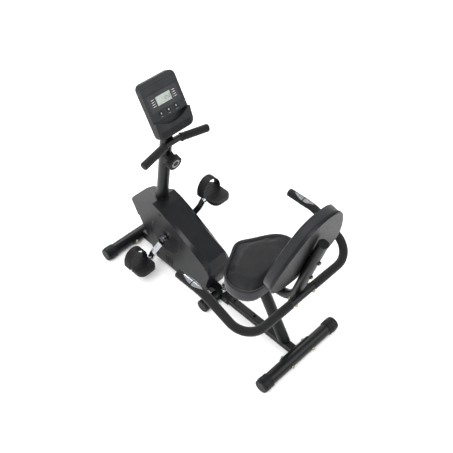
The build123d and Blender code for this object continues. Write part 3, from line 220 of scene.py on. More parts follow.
def display_glass():
    """Polycarbonate window over a reflective LCD: pale grey-green, smooth, with a faint haze."""
    material, tree, bsdf = finish("lcd_window", "979d98", 0.16, IOR=1.58)
    two_tone(tree, bsdf, uneven(tree, 30 * MM, 2.0, 0, 1), "8f9690", "a0a6a1")
    tree.links.new(uneven(tree, 4 * MM, 2.0, 0.12, 0.22), bsdf.inputs["Roughness"])
    return material


def circuit_green():
    """Solder resist on fibreglass: green, glossy, with a faint weave of 1.3 mm threads."""
    material, tree, bsdf = finish("solder_resist", "0f3d22", 0.3, IOR=1.5)
    weave = add(tree, "ShaderNodeTexWave", links={"Vector": object_point(tree)}, Scale=1 / (4 * MM))
    relief(tree, bsdf, weave.outputs["Fac"], 0.03 * MM, 0.5)
    two_tone(tree, bsdf, weave.outputs["Fac"], "0d371e", "134628")
    return material


def print_ink(name, colour):
    """Screen-printed ink: flat colour with the slightly uneven gloss of a thin film."""
    material, tree, bsdf = finish(name, colour, 0.5, IOR=1.5)
    tree.links.new(uneven(tree, 2 * MM, 2.0, 0.42, 0.58), bsdf.inputs["Roughness"])
    return material


FINISHES = {
    "frame_paint": powder_coat(),
    "black_plastic": moulded("abs_black", "0b0c0d", "131416", 0.42, 0.55),
    "casing_plastic": moulded("abs_casing", "101113", "151618", 0.29, 0.33, 0.9),
    "console_plastic": moulded("abs_console", "1c1d1f", "26272a", 0.42, 0.54),
    "seat_vinyl": vinyl("pvc_leather", "0d0e10", "18191b", 0.42, 0.56, 1.6),
    "grip_foam": grip_foam(),
    "strap_rubber": strap_rubber(),
    "chrome": bright_metal("chrome_plate", "8f9195", "b4b6ba", 0.1, 0.22),
    "zinc_bolts": bright_metal("yellow_zinc", "857d66", "a69d82", 0.24, 0.4),
    "black_oxide": bright_metal("black_oxide_steel", "2a2b2d", "3a3b3e", 0.35, 0.5),
    "steel": bright_metal("turned_steel", "85878a", "a6a8ab", 0.25, 0.4),
    "iron": cast_iron(),
    "belt_rubber": strap_rubber(),
    "display_glass": display_glass(),
    "board_green": circuit_green(),
}
DARK_SCREWS = {"housing_screws": "black_oxide"}
for row in frame["record"]["subparts"]:
    look = FINISHES[DARK_SCREWS.get(row["node"], row["material_slot"])]
    for place in frame["nodes"][row["node"]].material_slots:
        place.material = look


# ---------------------------------------------------------------- surfaces
UP = np.array([0.0, 0.0, 1.0])
HANDS = (("left", 1), ("right", -1))
SAME_POINT, SLIVER = 2e-6, 1e-7      # metres: points this near are one, edges this short go
REAR_X = sum(corner.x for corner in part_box("rear_stabiliser")) / 2


def bike(x, y, z):
    """A point given in mm from the rear stabiliser's axis, as metres in the row's frame."""
    return np.array([REAR_X + x * MM, y * MM, z * MM])


def unit(vectors):
    """Vectors divided by their own lengths."""
    return vectors / np.linalg.norm(vectors, axis=-1, keepdims=True)


def piece(name, points, faces, material, slot, body, bevel=0.0, smooth=True):
    """A finished mesh object: doubles merged, faces outward, riding on a body."""
    mesh = bpy.data.meshes.new(name)
    mesh.from_pydata(np.asarray(points, float).tolist(), [], faces)
    work = bmesh.new()
    work.from_mesh(mesh)
    bmesh.ops.remove_doubles(work, verts=work.verts, dist=SAME_POINT)
    bmesh.ops.dissolve_degenerate(work, edges=work.edges, dist=SLIVER)
    bmesh.ops.recalc_face_normals(work, faces=work.faces)
    work.to_mesh(mesh)
    work.free()
    mesh.polygons.foreach_set("use_smooth", [smooth] * len(mesh.polygons))
    mesh.materials.append(material)
    obj = bpy.data.objects.new(name, mesh)
    bpy.context.collection.objects.link(obj)
    if bevel:
        edge = obj.modifiers.new("edge", "BEVEL")
        edge.width = bevel
        edge.segments = 2
        edge.limit_method = "ANGLE"
    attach(obj, body)
    return obj


def grid_faces(rows, columns, wrap_rows=False):
    """Quads of a grid of points, closed round its columns, and round its rows if asked."""
    row = np.arange(rows if wrap_rows else rows - 1)[:, None]
    column = np.arange(columns)[None, :]
    next_row, next_column = (row + 1) % rows, (column + 1) % columns
    corners = (row * columns + column, row * columns + next_column, next_row * columns + next_column,
               next_row * columns + column)
    return np.stack([c.ravel() for c in corners], 1).tolist()


def surface(name, grid, material, slot, body, wrap_rows=False, **how):
    """A grid of points (rows, columns, 3) as one piece."""
    faces = grid_faces(grid.shape[0], grid.shape[1], wrap_rows)
    return piece(name, grid.reshape(-1, 3), faces, material, slot, body, **how)


def swept(path, radii, sides):
    """Rings about a path: each point of the path plus its radius times a circle square to the path."""
    path = np.asarray(path, float)
    ahead = unit(np.gradient(path, axis=0))
    across = unit(np.cross(ahead, UP))
    over = np.cross(across, ahead)
    turn = np.linspace(0, 2 * np.pi, sides, endpoint=False)
    ring = across[:, None] * np.cos(turn)[None, :, None] + over[:, None] * np.sin(turn)[None, :, None]
    return path[:, None] + ring * np.asarray(radii, float)[:, None, None]


def turned(origin, axis, profile, sides=48, flutes=0, flute=0.0):
    """Solid of revolution: profile rows of (along the axis, radius). Its flutes take off a share of the
    radius that follows the cube of a raised cosine."""
    axis = unit(np.asarray(axis, float))
    helper = UP if abs(axis[2]) < 0.9 else np.array([1.0, 0, 0])
    across = unit(np.cross(axis, helper))
    over = np.cross(axis, across)
    turn = np.linspace(0, 2 * np.pi, sides, endpoint=False)
    along, radius = np.asarray(profile, float).T * MM
    wave = 1 - flute * (0.5 + 0.5 * np.cos(flutes * turn)) ** 3
    ring = across * np.cos(turn)[:, None] + over * np.sin(turn)[:, None]
    return (np.asarray(origin) + along[:, None, None] * axis
            + radius[:, None, None] * wave[None, :, None] * ring[None])


def slabs(name, outlines, place, low, high, material, slot, body, bevel=0.0):
    """Flat raised shapes: each closed outline stands from one height to another over a face."""
    points, faces = [], []
    for outline in outlines:
        outline = np.asarray(outline, float)
        count, first = len(outline), sum(len(p) for p in points)
        for height in (low, high):
            points.append(place(outline[:, 0], outline[:, 1], np.full(count, height)))
        faces.extend((np.array(grid_faces(2, count)) + first).tolist())
        faces.append((np.arange(count) + first).tolist())
        faces.append((np.arange(count)[::-1] + first + count).tolist())
    return piece(name, np.concatenate(points), faces, material, slot, body, bevel, smooth=False)


def rounded(width, height, corner, at=(0.0, 0.0), turn=0.0, steps=5):
    """Rectangle with rounded corners: four quarter circles joined by straight sides."""
    quarter = np.linspace(0, np.pi / 2, steps)
    signs = ((1, 1), (-1, 1), (-1, -1), (1, -1))
    parts = [np.stack([sx * (width / 2 - corner) + corner * np.cos(quarter + k * np.pi / 2),
                       sy * (height / 2 - corner) + corner * np.sin(quarter + k * np.pi / 2)], 1)
             for k, (sx, sy) in enumerate(signs)]
    shape = np.concatenate(parts)
    c, s = math.cos(math.radians(turn)), math.sin(math.radians(turn))
    return shape @ np.array([[c, s], [-s, c]]) + np.asarray(at)


def filleted(points, radii, steps=14):
    """Straight runs joined by arcs: each corner becomes a circle arc that touches both its runs."""
    points = [np.asarray(p, float) for p in points]
    path = [points[0][None]]
    for before, corner, after, radius in zip(points, points[1:], points[2:], radii):
        way_in, way_out = unit(before - corner), unit(after - corner)
        half = math.acos(float(np.clip(way_in @ way_out, -1, 1))) / 2
        middle = corner + unit(way_in + way_out) * radius / math.sin(half)
        from_middle = corner + way_in * radius / math.tan(half) - middle
        to_middle = corner + way_out * radius / math.tan(half) - middle
        share = np.linspace(0, 1, steps)[:, None]
        sweep_angle = math.pi - 2 * half
        arc = (np.sin((1 - share) * sweep_angle) * from_middle + np.sin(share * sweep_angle) * to_middle)
        path.append(middle + arc / math.sin(sweep_angle))
    path.append(points[-1][None])
    return np.concatenate(path)


def spaced(path, step):
    """The same line with points a step apart, measured along it."""
    gone = np.concatenate([[0], np.cumsum(np.linalg.norm(np.diff(path, axis=0), axis=1))])
    along = np.linspace(0, gone[-1], max(3, int(gone[-1] / step) + 1))
    return np.stack([np.interp(along, gone, path[:, k]) for k in range(3)], 1), along


# ---------------------------------------------------------------- upholstery
TURNS = 144              # points round a pad's outline
BLUR_REACH, BLUR_WIDTH = 6, 2.2      # the bell that evens the outline out, in points
VOXEL = 0.005            # remesh before the cloth, in metres
PRESSURE, STIFFNESS, LAST_FRAME = 4.0, 15, 20        # of the cloth
EVEN_FACTOR, EVEN_PASSES = 0.5, 5    # the smoothing after it
SIDE_SHARE = 0.2         # the sewn band holds the sides, so they swell a fifth as far as the front


def outline_about(node, axes):
    """A flat node's outline: its middle, at each angle the distance out to the edge that a ray meets, evened
    out by a bell of its neighbours, and the height of the node's back."""
    across, along, out = axes
    corners = np.array([v.co for v in frame["nodes"][node].data.vertices])
    flat = np.stack([corners @ across, corners @ along], 1)
    height = corners @ out
    middle = (flat.min(0) + flat.max(0)) / 2
    rim = np.unique(np.round(flat - middle, 6), axis=0)
    rim = rim[np.argsort(np.arctan2(rim[:, 1], rim[:, 0]))]
    turn = np.linspace(-np.pi, np.pi, TURNS, endpoint=False)
    ray = np.stack([np.cos(turn), np.sin(turn)], 1)
    angles = np.arctan2(rim[:, 1], rim[:, 0])
    upper = np.searchsorted(angles, turn) % len(rim)
    start, edge = rim[upper - 1], rim[upper] - rim[upper - 1]
    crossed = start[:, 0] * edge[:, 1] - start[:, 1] * edge[:, 0]
    radius = crossed / (ray[:, 0] * edge[:, 1] - ray[:, 1] * edge[:, 0])
    blur = np.exp(-0.5 * (np.arange(-BLUR_REACH, BLUR_REACH + 1) / BLUR_WIDTH) ** 2)
    around = np.concatenate([radius[-BLUR_REACH:], radius, radius[:BLUR_REACH]])
    radius = np.convolve(around, blur / blur.sum(), "valid")
    return middle, ray * radius[:, None], radius, height.min()


def pad_grid(shape, axes, profile):
    """Closed pad: rows of (inset from the outline, height over the pad's back), carried round the outline."""
    middle, rim, radius, low = shape
    across, along, out = axes
    inset, height = np.asarray(profile, float).T
    share = np.clip(1 - inset[:, None] * MM / radius[None], 0, None)
    flat = middle + rim[None] * share[..., None]
    return flat[..., :1] * across + flat[..., 1:] * along + (low + height * MM)[:, None, None] * out


def swell(pad, shape, axes, cap):
    """Inflates a pad as cloth, with its move capped; its back stays flat where it rests."""
    out, low = axes[2], shape[3]
    remesh = pad.modifiers.new("remesh", "REMESH")
    remesh.mode = "VOXEL"
    remesh.voxel_size = VOXEL
    take_modifiers(pad)
    rest = read_points(pad)
    cloth = pad.modifiers.new("cloth", "CLOTH")
    cloth.settings.use_pressure = True
    cloth.settings.uniform_pressure_force = PRESSURE
    cloth.settings.effector_weights.gravity = 0.0
    cloth.settings.tension_stiffness = STIFFNESS
    cloth.settings.compression_stiffness = STIFFNESS
    cloth.point_cache.frame_start, cloth.point_cache.frame_end = 1, LAST_FRAME
    for step in range(1, LAST_FRAME + 1):
        bpy.context.scene.frame_set(step)
    moved = read_points(pad, evaluated=True) - rest
    pad.modifiers.remove(cloth)
    bpy.context.scene.frame_set(1)
    length = np.linalg.norm(moved, axis=1, keepdims=True)
    moved *= np.minimum(1, cap / np.maximum(length, 1e-9))
    rise = (moved @ out)[:, None] * out
    moved = rise + SIDE_SHARE * (moved - rise)
    points = rest + moved
    under = np.minimum(points @ out - low, 0)
    pad.data.vertices.foreach_set("co", (points - under[:, None] * out).astype(np.float32).ravel())
    pad.data.update()
    even = pad.modifiers.new("even", "SMOOTH")
    even.factor = EVEN_FACTOR
    even.iterations = EVEN_PASSES
    smooth = pad.modifiers.new("smooth", "SUBSURF")
    smooth.levels = smooth.render_levels = 1


def read_points(obj, evaluated=False):
    """Vertex places of a mesh object, as it is or after its modifiers."""
    source = obj.evaluated_get(bpy.context.evaluated_depsgraph_get()) if evaluated else obj
    points = np.zeros(len(source.data.vertices) * 3, np.float32)
    source.data.vertices.foreach_get("co", points)
    return points.reshape(-1, 3).astype(float)


def take_modifiers(obj):
    """Replaces a mesh by what its modifiers make of it."""
    graph = bpy.context.evaluated_depsgraph_get()
    made = bpy.data.meshes.new_from_object(obj.evaluated_get(graph))
    obj.modifiers.clear()
    obj.data = made
    made.polygons.foreach_set("use_smooth", [True] * len(made.polygons))


def welt(name, shape, axes, inset, height, radius):
    """Thin sewn bead: a small circle carried round the outline, in a vinyl lighter than the pad's, as a
    painted highlight along the edge.
    """
    middle, rim, reach, low = shape
    across, along, out = axes
    turn = np.linspace(0, 2 * np.pi, 10, endpoint=False)
    away = unit(rim)
    share = 1 - inset * MM / reach
    line = middle + rim * share[:, None]
    centre = line[:, :1] * across + line[:, 1:] * along + (low + height * MM) * out
    side = away[:, :1] * across + away[:, 1:] * along
    ring = side[:, None] * np.cos(turn)[None, :, None] + out * np.sin(turn)[None, :, None]
    grid = centre[:, None] + radius * MM * ring
    return surface(name, grid, WELT_HIGHLIGHT, "seat_vinyl", "seat_carriage", wrap_rows=True)


def upholster(name, node, axes, core, band, cap, welts):
    """Pad in two parts: a stuffed core with a crowned front, and the flat band sewn round its sides."""
    shape = outline_about(node, axes)
    pad = surface(name, pad_grid(shape, axes, core), FINISHES["seat_vinyl"], "seat_vinyl", "seat_carriage")
    swell(pad, shape, axes, cap)
    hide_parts(node)
    side = surface(name + "_band", pad_grid(shape, axes, band), BAND, "seat_vinyl", "seat_carriage",
                   wrap_rows=True)
    for index, (inset, height, radius) in enumerate(welts):
        welt(f"{name}_welt_{index}", shape, axes, inset, height, radius)


RIB_SCALE = 1 / (3.2 * MM) / 3.1416      # of the wave: ribs about 4 mm apart, coarse enough to show


def band_vinyl():
    """Side band of the pads: knitted PVC whose slanting ribs, about 4 mm apart, catch the light; their crests
    are painted lighter and their troughs darker, as painted highlight and shade.
    """
    material, tree, bsdf = finish("knitted_pvc_band", "2f3034", 0.6, IOR=1.5, Sheen_Weight=0.15)
    wave = add(tree, "ShaderNodeTexWave", {"bands_direction": "DIAGONAL"},
               links={"Vector": object_point(tree)}, Scale=RIB_SCALE, Distortion=0.6)
    relief(tree, bsdf, wave.outputs["Fac"], 0.25 * MM, 0.6)
    # painted highlight and shade: the ribs' crests are coloured lighter and their troughs darker
    two_tone(tree, bsdf, wave.outputs["Fac"], "131416", "232427")
    return material


BAND = band_vinyl()
# the welt's vinyl is lighter than the pad's: a painted highlight along the pad's edge, on a real bead
WELT_HIGHLIGHT = moulded("pvc_welt_highlight", "16171a", "202124", 0.4, 0.52, 0.8, 0.04)
SEAT_AXES = (np.array([1.0, 0, 0]), np.array([0, 1.0, 0]), UP)
BACK_LEAN = math.radians(15.0)
BACK_AXES = (np.array([0, 1.0, 0]), np.array([-math.sin(BACK_LEAN), 0, math.cos(BACK_LEAN)]),
             np.array([math.cos(BACK_LEAN), 0, math.sin(BACK_LEAN)]))
SEAT_CORE = [(400, 1), (60, 1), (16, 1), (7, 5), (5, 14), (5, 34), (5, 41), (8, 45), (16, 48), (34, 50),
             (70, 50), (400, 50)]
SEAT_BAND = [(0, 3), (-0.4, 12), (-0.6, 26), (-0.4, 42), (0, 49), (2, 50.5), (8, 50), (8, 3), (2, 1)]
BACK_CORE = [(400, 1), (60, 1), (12, 1), (6, 4), (5, 12), (5, 24), (8, 30), (16, 33.5), (34, 35.5), (70, 36),
             (400, 36)]
BACK_BAND = [(0, 2), (-0.5, 9), (-0.7, 17), (-0.5, 25), (0, 31), (2, 32.2), (8, 31.5), (8, 2), (2, 0.5)]
upholster("seat_cushion_pad", "seat_cushion", SEAT_AXES, SEAT_CORE, SEAT_BAND, cap=0.013,
          welts=[(0.6, 50.2, 1.3), (1.0, 1.8, 1.1)])
upholster("backrest_pad", "backrest_cushion", BACK_AXES, BACK_CORE, BACK_BAND, cap=0.008,
          welts=[(0.6, 32.0, 1.3), (0.8, 1.6, 1.1)])

# ---------------------------------------------------------------- foam sleeves on the hand bar
BAR_LINE = ((335, 288, 467), (207, 288, 467), (14, 280.5, 379.5), (14, 58, 379.5))
BAR_BENDS = (0.150, 0.089)           # radii of its two bends, in metres
FOAM_R, TUBE_R = 16.5, 14.3
END_GAP = 0.2            # between the tube and the foam where its ends roll in
LINE_STEP = 0.004        # metres between the rings of a swept piece


def foam_sleeve(hand, side):
    """Foam tube carried along the bar: its radius swells by a slow wave and rolls in at both ends."""
    corners = [bike(x, side * y, z) for x, y, z in BAR_LINE]
    path, along = spaced(filleted(corners, BAR_BENDS), LINE_STEP)
    reach = np.minimum(along, along[-1] - along) / (4 * MM)
    lip = np.sqrt(np.clip(1 - (1 - np.clip(reach, 0, 1)) ** 2, 0, 1))
    radii = (TUBE_R + END_GAP + (FOAM_R - TUBE_R - END_GAP) * lip + 0.15 * np.sin(along / (23 * MM))) * MM
    outer = swept(path, radii, 40)
    inner = swept(path[::-1], np.full(len(path), (TUBE_R + 0.15) * MM), 40)
    return surface(f"foam_sleeve_{hand}", np.concatenate([outer, inner]), FINISHES["grip_foam"], "grip_foam",
                   "seat_carriage", wrap_rows=True)


def bar_plug(hand, side):
    """Domed plastic plug: a turned profile that rises to a rim and closes in a shallow dome."""
    profile = [(-2, 0), (-2, 13), (0, 15.4), (1.4, 16.4), (3.2, 15.8), (4.4, 13), (4.9, 8), (5, 0)]
    x, y, z = BAR_LINE[0]
    grid = turned(bike(x, side * y, z), (1, 0, 0), profile, 40)
    return surface(f"bar_plug_{hand}", grid, FINISHES["black_plastic"], "black_plastic", "seat_carriage")


sleeves = [foam_sleeve(hand, side) for hand, side in HANDS]
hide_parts("foam_grips")
for hand, side in HANDS:
    bar_plug(hand, side)

# ---------------------------------------------------------------- pedals: straps, treads
STRAP_WIDE, STRAP_THICK = 36, 2.6
STRAP_MIDDLE = 0.72      # the section's middle is this share of its edges' thickness
STRAP_LEG, LEG_POINTS = 14, 6        # how far its ends go down below the pedal's top, and points along each
STRAP_PROFILE = rounded(STRAP_WIDE, STRAP_THICK, 1.2)
TREAD_ROWS, TREAD_REACH = 9, 46      # how many bars, and how far out the last ones lie
TREAD_LENGTH, PLATE_HALF = 74, 66    # the longest bar, and half the ellipse's length


def strap(hand):
    """Moulded strap: a rounded flat section carried over a half ellipse from one side wall to the other,
    with two raised edges where the section thickens by the square of its distance from the middle."""
    low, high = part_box(hand + "_pedal")
    middle = (np.array(low) + np.array(high)) / 2
    top = high.z
    base_low, base_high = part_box(hand + "_pedal_strap")
    centre_x = (base_low.x + base_high.x) / 2
    reach = (base_high.y - base_low.y) / 2 - STRAP_THICK / 2 * MM
    rise = base_high.z - top - STRAP_THICK / 2 * MM
    turn = np.linspace(0, np.pi, 61)
    arch = np.stack([reach * np.cos(turn), rise * np.sin(turn)], 1)
    leg = np.linspace(-STRAP_LEG * MM, -1 * MM, LEG_POINTS)
    down = np.stack([np.full(LEG_POINTS, reach), leg], 1)
    line = np.concatenate([down, arch, (down * [-1, 1])[::-1]])
    ahead = unit(np.gradient(line, axis=0))
    normal = np.stack([ahead[:, 1], -ahead[:, 0]], 1)
    wide, thick = STRAP_PROFILE[:, 0] * MM, STRAP_PROFILE[:, 1] * MM
    thick = thick * (STRAP_MIDDLE + (1 - STRAP_MIDDLE) * (wide / (STRAP_WIDE / 2 * MM)) ** 2)
    yz = line[:, None] + normal[:, None] * thick[None, :, None]
    grid = np.stack([np.broadcast_to(centre_x + wide, yz.shape[:2]), middle[1] + yz[..., 0],
                     top + yz[..., 1]], -1)
    caps = np.concatenate([grid[:1].mean(1, keepdims=True).repeat(grid.shape[1], 1), grid,
                           grid[-1:].mean(1, keepdims=True).repeat(grid.shape[1], 1)])
    made = surface(f"{hand}_strap", caps, FINISHES["strap_rubber"], "strap_rubber", f"{hand}_foot")
    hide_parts(f"{hand}_pedal_strap")


def treads(hand):
    """Rows of rounded bars moulded on the foot plate, whose lengths follow an ellipse towards its ends."""
    low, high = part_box(hand + "_pedal")
    middle = (np.array(low) + np.array(high)) / 2
    across = np.linspace(-TREAD_REACH, TREAD_REACH, TREAD_ROWS)
    length = TREAD_LENGTH * np.sqrt(np.clip(1 - (across / PLATE_HALF) ** 2, 0, 1))
    bars = [rounded(3.2, span, 1.5, at=(x, 0)) for x, span in zip(across, length)]

    def place(a, b, h):
        return np.stack([middle[0] + a * MM, middle[1] + b * MM, high.z + h * MM], 1)
    slabs(f"{hand}_treads", bars, place, -0.3, 1.4, FINISHES["black_plastic"], "black_plastic",
          f"{hand}_foot", bevel=0.4 * MM)


for hand in ("left", "right"):
    strap(hand)
    treads(hand)

# ---------------------------------------------------------------- console face
FACE_TOP = bike(743, 0, 937)
FACE_TILT = math.radians(60)
FACE_OUT = np.array([-math.sin(FACE_TILT), 0, math.cos(FACE_TILT)])
FACE_DOWN = np.array([-FACE_OUT[2], 0, FACE_OUT[0]])
KEY_PITCH, KEYS_DOWN, CAPTIONS_DOWN = 34.3, 122.5, 135.0
PANEL_PROUD = 0.5        # the raised panel's height off the face
LIP_PROUD, LIP_RUN, LIP_FOOT = 14, 69, 212       # the tray lip's height, length and lower edge
RIB_PITCH, RIBS_REACH, RIBS_DOWN = 5.5, 66, 196


def on_face(right, down, height):
    """Places on the console's face: mm to the rider's right, mm down from its top edge, mm off it."""
    return (FACE_TOP + right[:, None] * MM * np.array([0, -1.0, 0]) + down[:, None] * MM * FACE_DOWN
            + height[:, None] * MM * FACE_OUT)


def bar_of(x, y, width, height, turn=0.0):
    """Small bar with slightly rounded ends."""
    return rounded(width, height, min(width, height) * 0.3, at=(x, y), turn=turn, steps=3)


INK = print_ink("white_screen_ink", "e2e3e4")
KEY_INK = print_ink("grey_screen_ink", "8a8c8f")
LCD_INK = print_ink("lcd_segments", "3a3f3c")
PANEL = moulded("abs_panel", "242527", "2e2f32", 0.34, 0.46, 0.5, 0.03)
# dark plastic for painted shade: in the face's grooves, in the gaps between the lip's ribs and along the
# casing's seam
GROOVE_SHADE = moulded("shadow_groove", "101012", "151517", 0.6, 0.7)
BAR_SHARE, BAR_WIDE = 0.82, 1.15     # a digit's bar: its share of the side it lies on, and its width
SEGMENTS = {"0": "abcdef", "1": "bc", "2": "abged", "5": "afgcd"}
SEGMENT_BARS = {"a": (0, -1, 0), "g": (0, 0, 0), "d": (0, 1, 0), "f": (-0.5, -0.5, 90), "b": (0.5, -0.5, 90),
                "e": (-0.5, 0.5, 90), "c": (0.5, 0.5, 90)}


def digit(character, x, y, width, height):
    """Seven-segment digit: bars on the sides of two stacked squares, a little shorter than the sides."""
    bars = []
    for name in SEGMENTS[character]:
        dx, dy, turn = SEGMENT_BARS[name]
        side = height / 2 if turn else width
        bars.append(bar_of(x + dx * width, y + dy * height / 2, side * BAR_SHARE, BAR_WIDE, turn))
    return bars


def console_marks():
    """Digits, side marks, key captions, the raised panel round the display and the painted shade of the
    face's two grooves.
    """
    outer, opening = rounded(134, 61, 7, at=(0, 80)), rounded(67.4, 35.4, 1.5, at=(0, 79.5))
    ring = np.stack([on_face(loop[:, 0], loop[:, 1], np.full(len(loop), height))
                     for loop, height in ((outer, 0.0), (outer, PANEL_PROUD), (opening, PANEL_PROUD),
                                          (opening, 0.0))])
    surface("console_panel", ring, PANEL, "console_plastic", "frame", wrap_rows=True, smooth=False)
    # painted shade: dark strips lie on the face where its two grooves are
    grooves = [rounded(150, 1.3, 0.5, at=(0, 19)), rounded(157, 1.3, 0.5, at=(0, 46))]
    slabs("console_groove_shade", grooves, on_face, 0.02, 0.15, GROOVE_SHADE, "console_plastic", "frame")
    digits = []
    for character, x in zip("1250", (2.0, 9.5, 19.0, 26.5)):
        digits += digit(character, x, 79.5, 4.6, 13.0)
    digits += [bar_of(14.2, 77.0, 1.2, 1.2), bar_of(14.2, 82.0, 1.2, 1.2)]
    slabs("lcd_digits", digits, on_face, -0.45, -0.3, LCD_INK, "display_glass", "frame")
    marks = []
    for side in (-1, 1):
        for row in range(4):
            y = 67.5 + row * 8.0
            marks += [bar_of(side * 40.5, y, 1.8, 1.8), bar_of(side * 49.0, y, 10.0, 1.2)]
    slabs("console_marks", marks, on_face, PANEL_PROUD, 0.62, INK, "console_plastic", "frame")
    captions = [bar_of(x, CAPTIONS_DOWN, 9.0, 1.1) for x in (-KEY_PITCH, 0, KEY_PITCH)]
    slabs("key_captions", captions, on_face, 0.01, 0.12, KEY_INK, "console_plastic", "frame")


def key_symbols():
    """A printed sign on each key, riding with it: an arrow up, a disc and an arrow down."""
    arrow = np.array([[0, -4.2], [3.9, 1.0], [1.5, 1.0], [1.5, 4.0], [-1.5, 4.0], [-1.5, 1.0], [-3.9, 1.0]])
    around = np.linspace(0, 2 * np.pi, 24, endpoint=False)
    disc = np.stack([3.4 * np.cos(around), 3.4 * np.sin(around)], 1)
    for name, x, shape in (("left", -KEY_PITCH, arrow), ("middle", 0.0, disc),
                           ("right", KEY_PITCH, arrow * [1, -1])):
        slabs(f"{name}_key_sign", [shape + [x, KEYS_DOWN]], on_face, 1.5, 1.62, KEY_INK, "console_plastic",
              f"{name}_key")


def lip_ribs():
    """Fine upright ribs across the lower band of the tray's lip, which slopes down to the bottom edge, with
    dark strips between them as painted shade in the gaps.
    """
    across = np.arange(-RIBS_REACH, RIBS_REACH + 0.1, RIB_PITCH)
    ribs = [rounded(2.2, 24, 1.0, at=(x, RIBS_DOWN)) for x in across]

    def on_lip(right, down, height):
        return on_face(right, down, height + LIP_PROUD * (LIP_FOOT - down) / LIP_RUN)
    # painted shade: dark strips in the gaps between the ribs
    gaps = [rounded(1.7, 22, 0.7, at=(x + RIB_PITCH / 2, RIBS_DOWN)) for x in across[:-1]]
    slabs("lip_gap_shade", gaps, on_lip, 0.02, 0.2, GROOVE_SHADE, "console_plastic", "frame")
    slabs("lip_ribs", ribs, on_lip, -0.2, 1.0, FINISHES["console_plastic"], "console_plastic", "frame",
          bevel=0.35 * MM)


console_marks()
key_symbols()
lip_ribs()

# ---------------------------------------------------------------- knob, grips, caps, crank covers
POST_LEAN = math.radians(9.2)
POST_X, POST_REF_Z, KNOB_Z = 715.3, 634, 597     # the post's axis at a height, and the knob's height
KNOB_AXIS = np.array([-math.cos(POST_LEAN), 0, -math.sin(POST_LEAN)])
KNOB_BASE = bike(POST_X + (POST_REF_Z - KNOB_Z) * math.tan(POST_LEAN), 0, KNOB_Z)
KNOB_REACH = 60.2        # from the post's axis to the knob's end face
HANDLE_END, HANDLE_BEND = (651, 155.5, 678), (672, 28.5, 690)
GRIP_R, GRIP_RIDGE, RIDGE_PITCH = 15.5, 0.3, 5.0
STAB_HALF, STAB_Z, CAP_R = 211.5, 30, 27.8       # stabilisers: half length, axis height, end caps' radius
RINGS_IN, RING_SIDES = (36.0, 41.0, 46.0), 64    # the caps' rings: how far in from the end, points round
STAB_SPAN = 922          # from the rear stabiliser's axis to the front one's
CRANK_X, CRANK_Z, CASING_HALF = 687, 210, 57.0   # the crank's axis, and the casing's half width
COVER_SIDES = 72
PIN_X, NUT_Z = 405, 51   # the lock pin, and the foot of the collar over its nut
TUBE_FOOT_X, RAIL_Z = 55.5, 318.0    # where the upright tube's axis meets the seat rail's
BOLTS_UP, BOLTS_BEHIND = (195.0, 290.0), 26.5    # along that tube, and behind its axis


def knob_face():
    """Bright turned ring with a grey centre on the end of the tension knob."""
    end = KNOB_BASE + KNOB_AXIS * KNOB_REACH * MM
    ring = [(0, 0), (0, 17.5), (0.9, 18.2), (1.5, 17.4), (1.5, 12.6), (0.8, 12.0), (0.8, 0)]
    surface("knob_ring", turned(end, KNOB_AXIS, ring), FINISHES["steel"], "steel", "knob")
    centre = [(0.7, 0), (0.7, 11.6), (1.3, 11.2), (1.6, 8), (1.7, 0)]
    surface("knob_centre", turned(end, KNOB_AXIS, centre), PANEL, "black_plastic", "knob")


def handle_grip(hand, side):
    """Foam-like rubber grip: a turned tube with a flange at its inner end, ridges where a cosine is high,
    and a domed outer end."""
    tip, bend = (bike(x, side * y, z) for x, y, z in (HANDLE_END, HANDLE_BEND))
    inward = unit(bend - tip)
    along = np.linspace(0, 118, 119)
    ridge = GRIP_RIDGE * (np.cos(2 * np.pi * along / RIDGE_PITCH) > 0.2)
    ridged = [(x, GRIP_R + r) for x, r in zip(along[6:-5], ridge[6:-5])]
    profile = [(-3.2, 0), (-3.2, 11), (-2.2, 14.2), (0, 15.6), (3, 15.9)] + ridged + \
              [(114, 15.9), (115, 17.4), (118, 17.4), (118.6, 16.4), (118.6, 12.85), (0.2, 12.85), (0.2, 0)]
    grid = turned(tip, inward, profile, 40)
    surface(f"handle_grip_{hand}", grid, FINISHES["grip_foam"], "grip_foam", "frame")


def cap_ribs(name, body, x):
    """Rings moulded round the end caps: a small half circle carried round the tube's axis."""
    turn = np.linspace(0, 2 * np.pi, RING_SIDES, endpoint=False)
    bump = np.linspace(-np.pi, np.pi, 9)
    for side in (-1, 1):
        for index, back in enumerate(RINGS_IN):
            centre = bike(x, side * (STAB_HALF - back), STAB_Z)
            reach = (CAP_R + 0.9 * np.cos(bump / 2)) * MM
            ring = np.stack([np.cos(turn), np.zeros(RING_SIDES), np.sin(turn)], 1)
            grid = centre + ring[:, None] * reach[None, :, None]
            grid = grid + np.array([0, 1.0, 0]) * (1.5 * np.sin(bump / 2) * MM)[None, :, None]
            surface(f"{name}_{'left' if side > 0 else 'right'}_{index}", grid, FINISHES["black_plastic"],
                    "black_plastic", body, wrap_rows=True)


def crank_cover(hand, side):
    """Shallow disc on the casing round the crank: a turned profile, low between its rim and its hub."""
    profile = [(-0.4, 13), (-0.4, 86), (0.8, 86), (1.6, 84), (1.5, 79), (0.7, 62), (0.3, 36), (0.5, 18),
               (1.2, 14.5), (1.2, 13)]
    grid = turned(bike(CRANK_X, side * CASING_HALF, CRANK_Z), (0, side, 0), profile, COVER_SIDES)
    surface(f"crank_cover_{hand}", grid, FINISHES["casing_plastic"], "casing_plastic", "frame",
            wrap_rows=True)


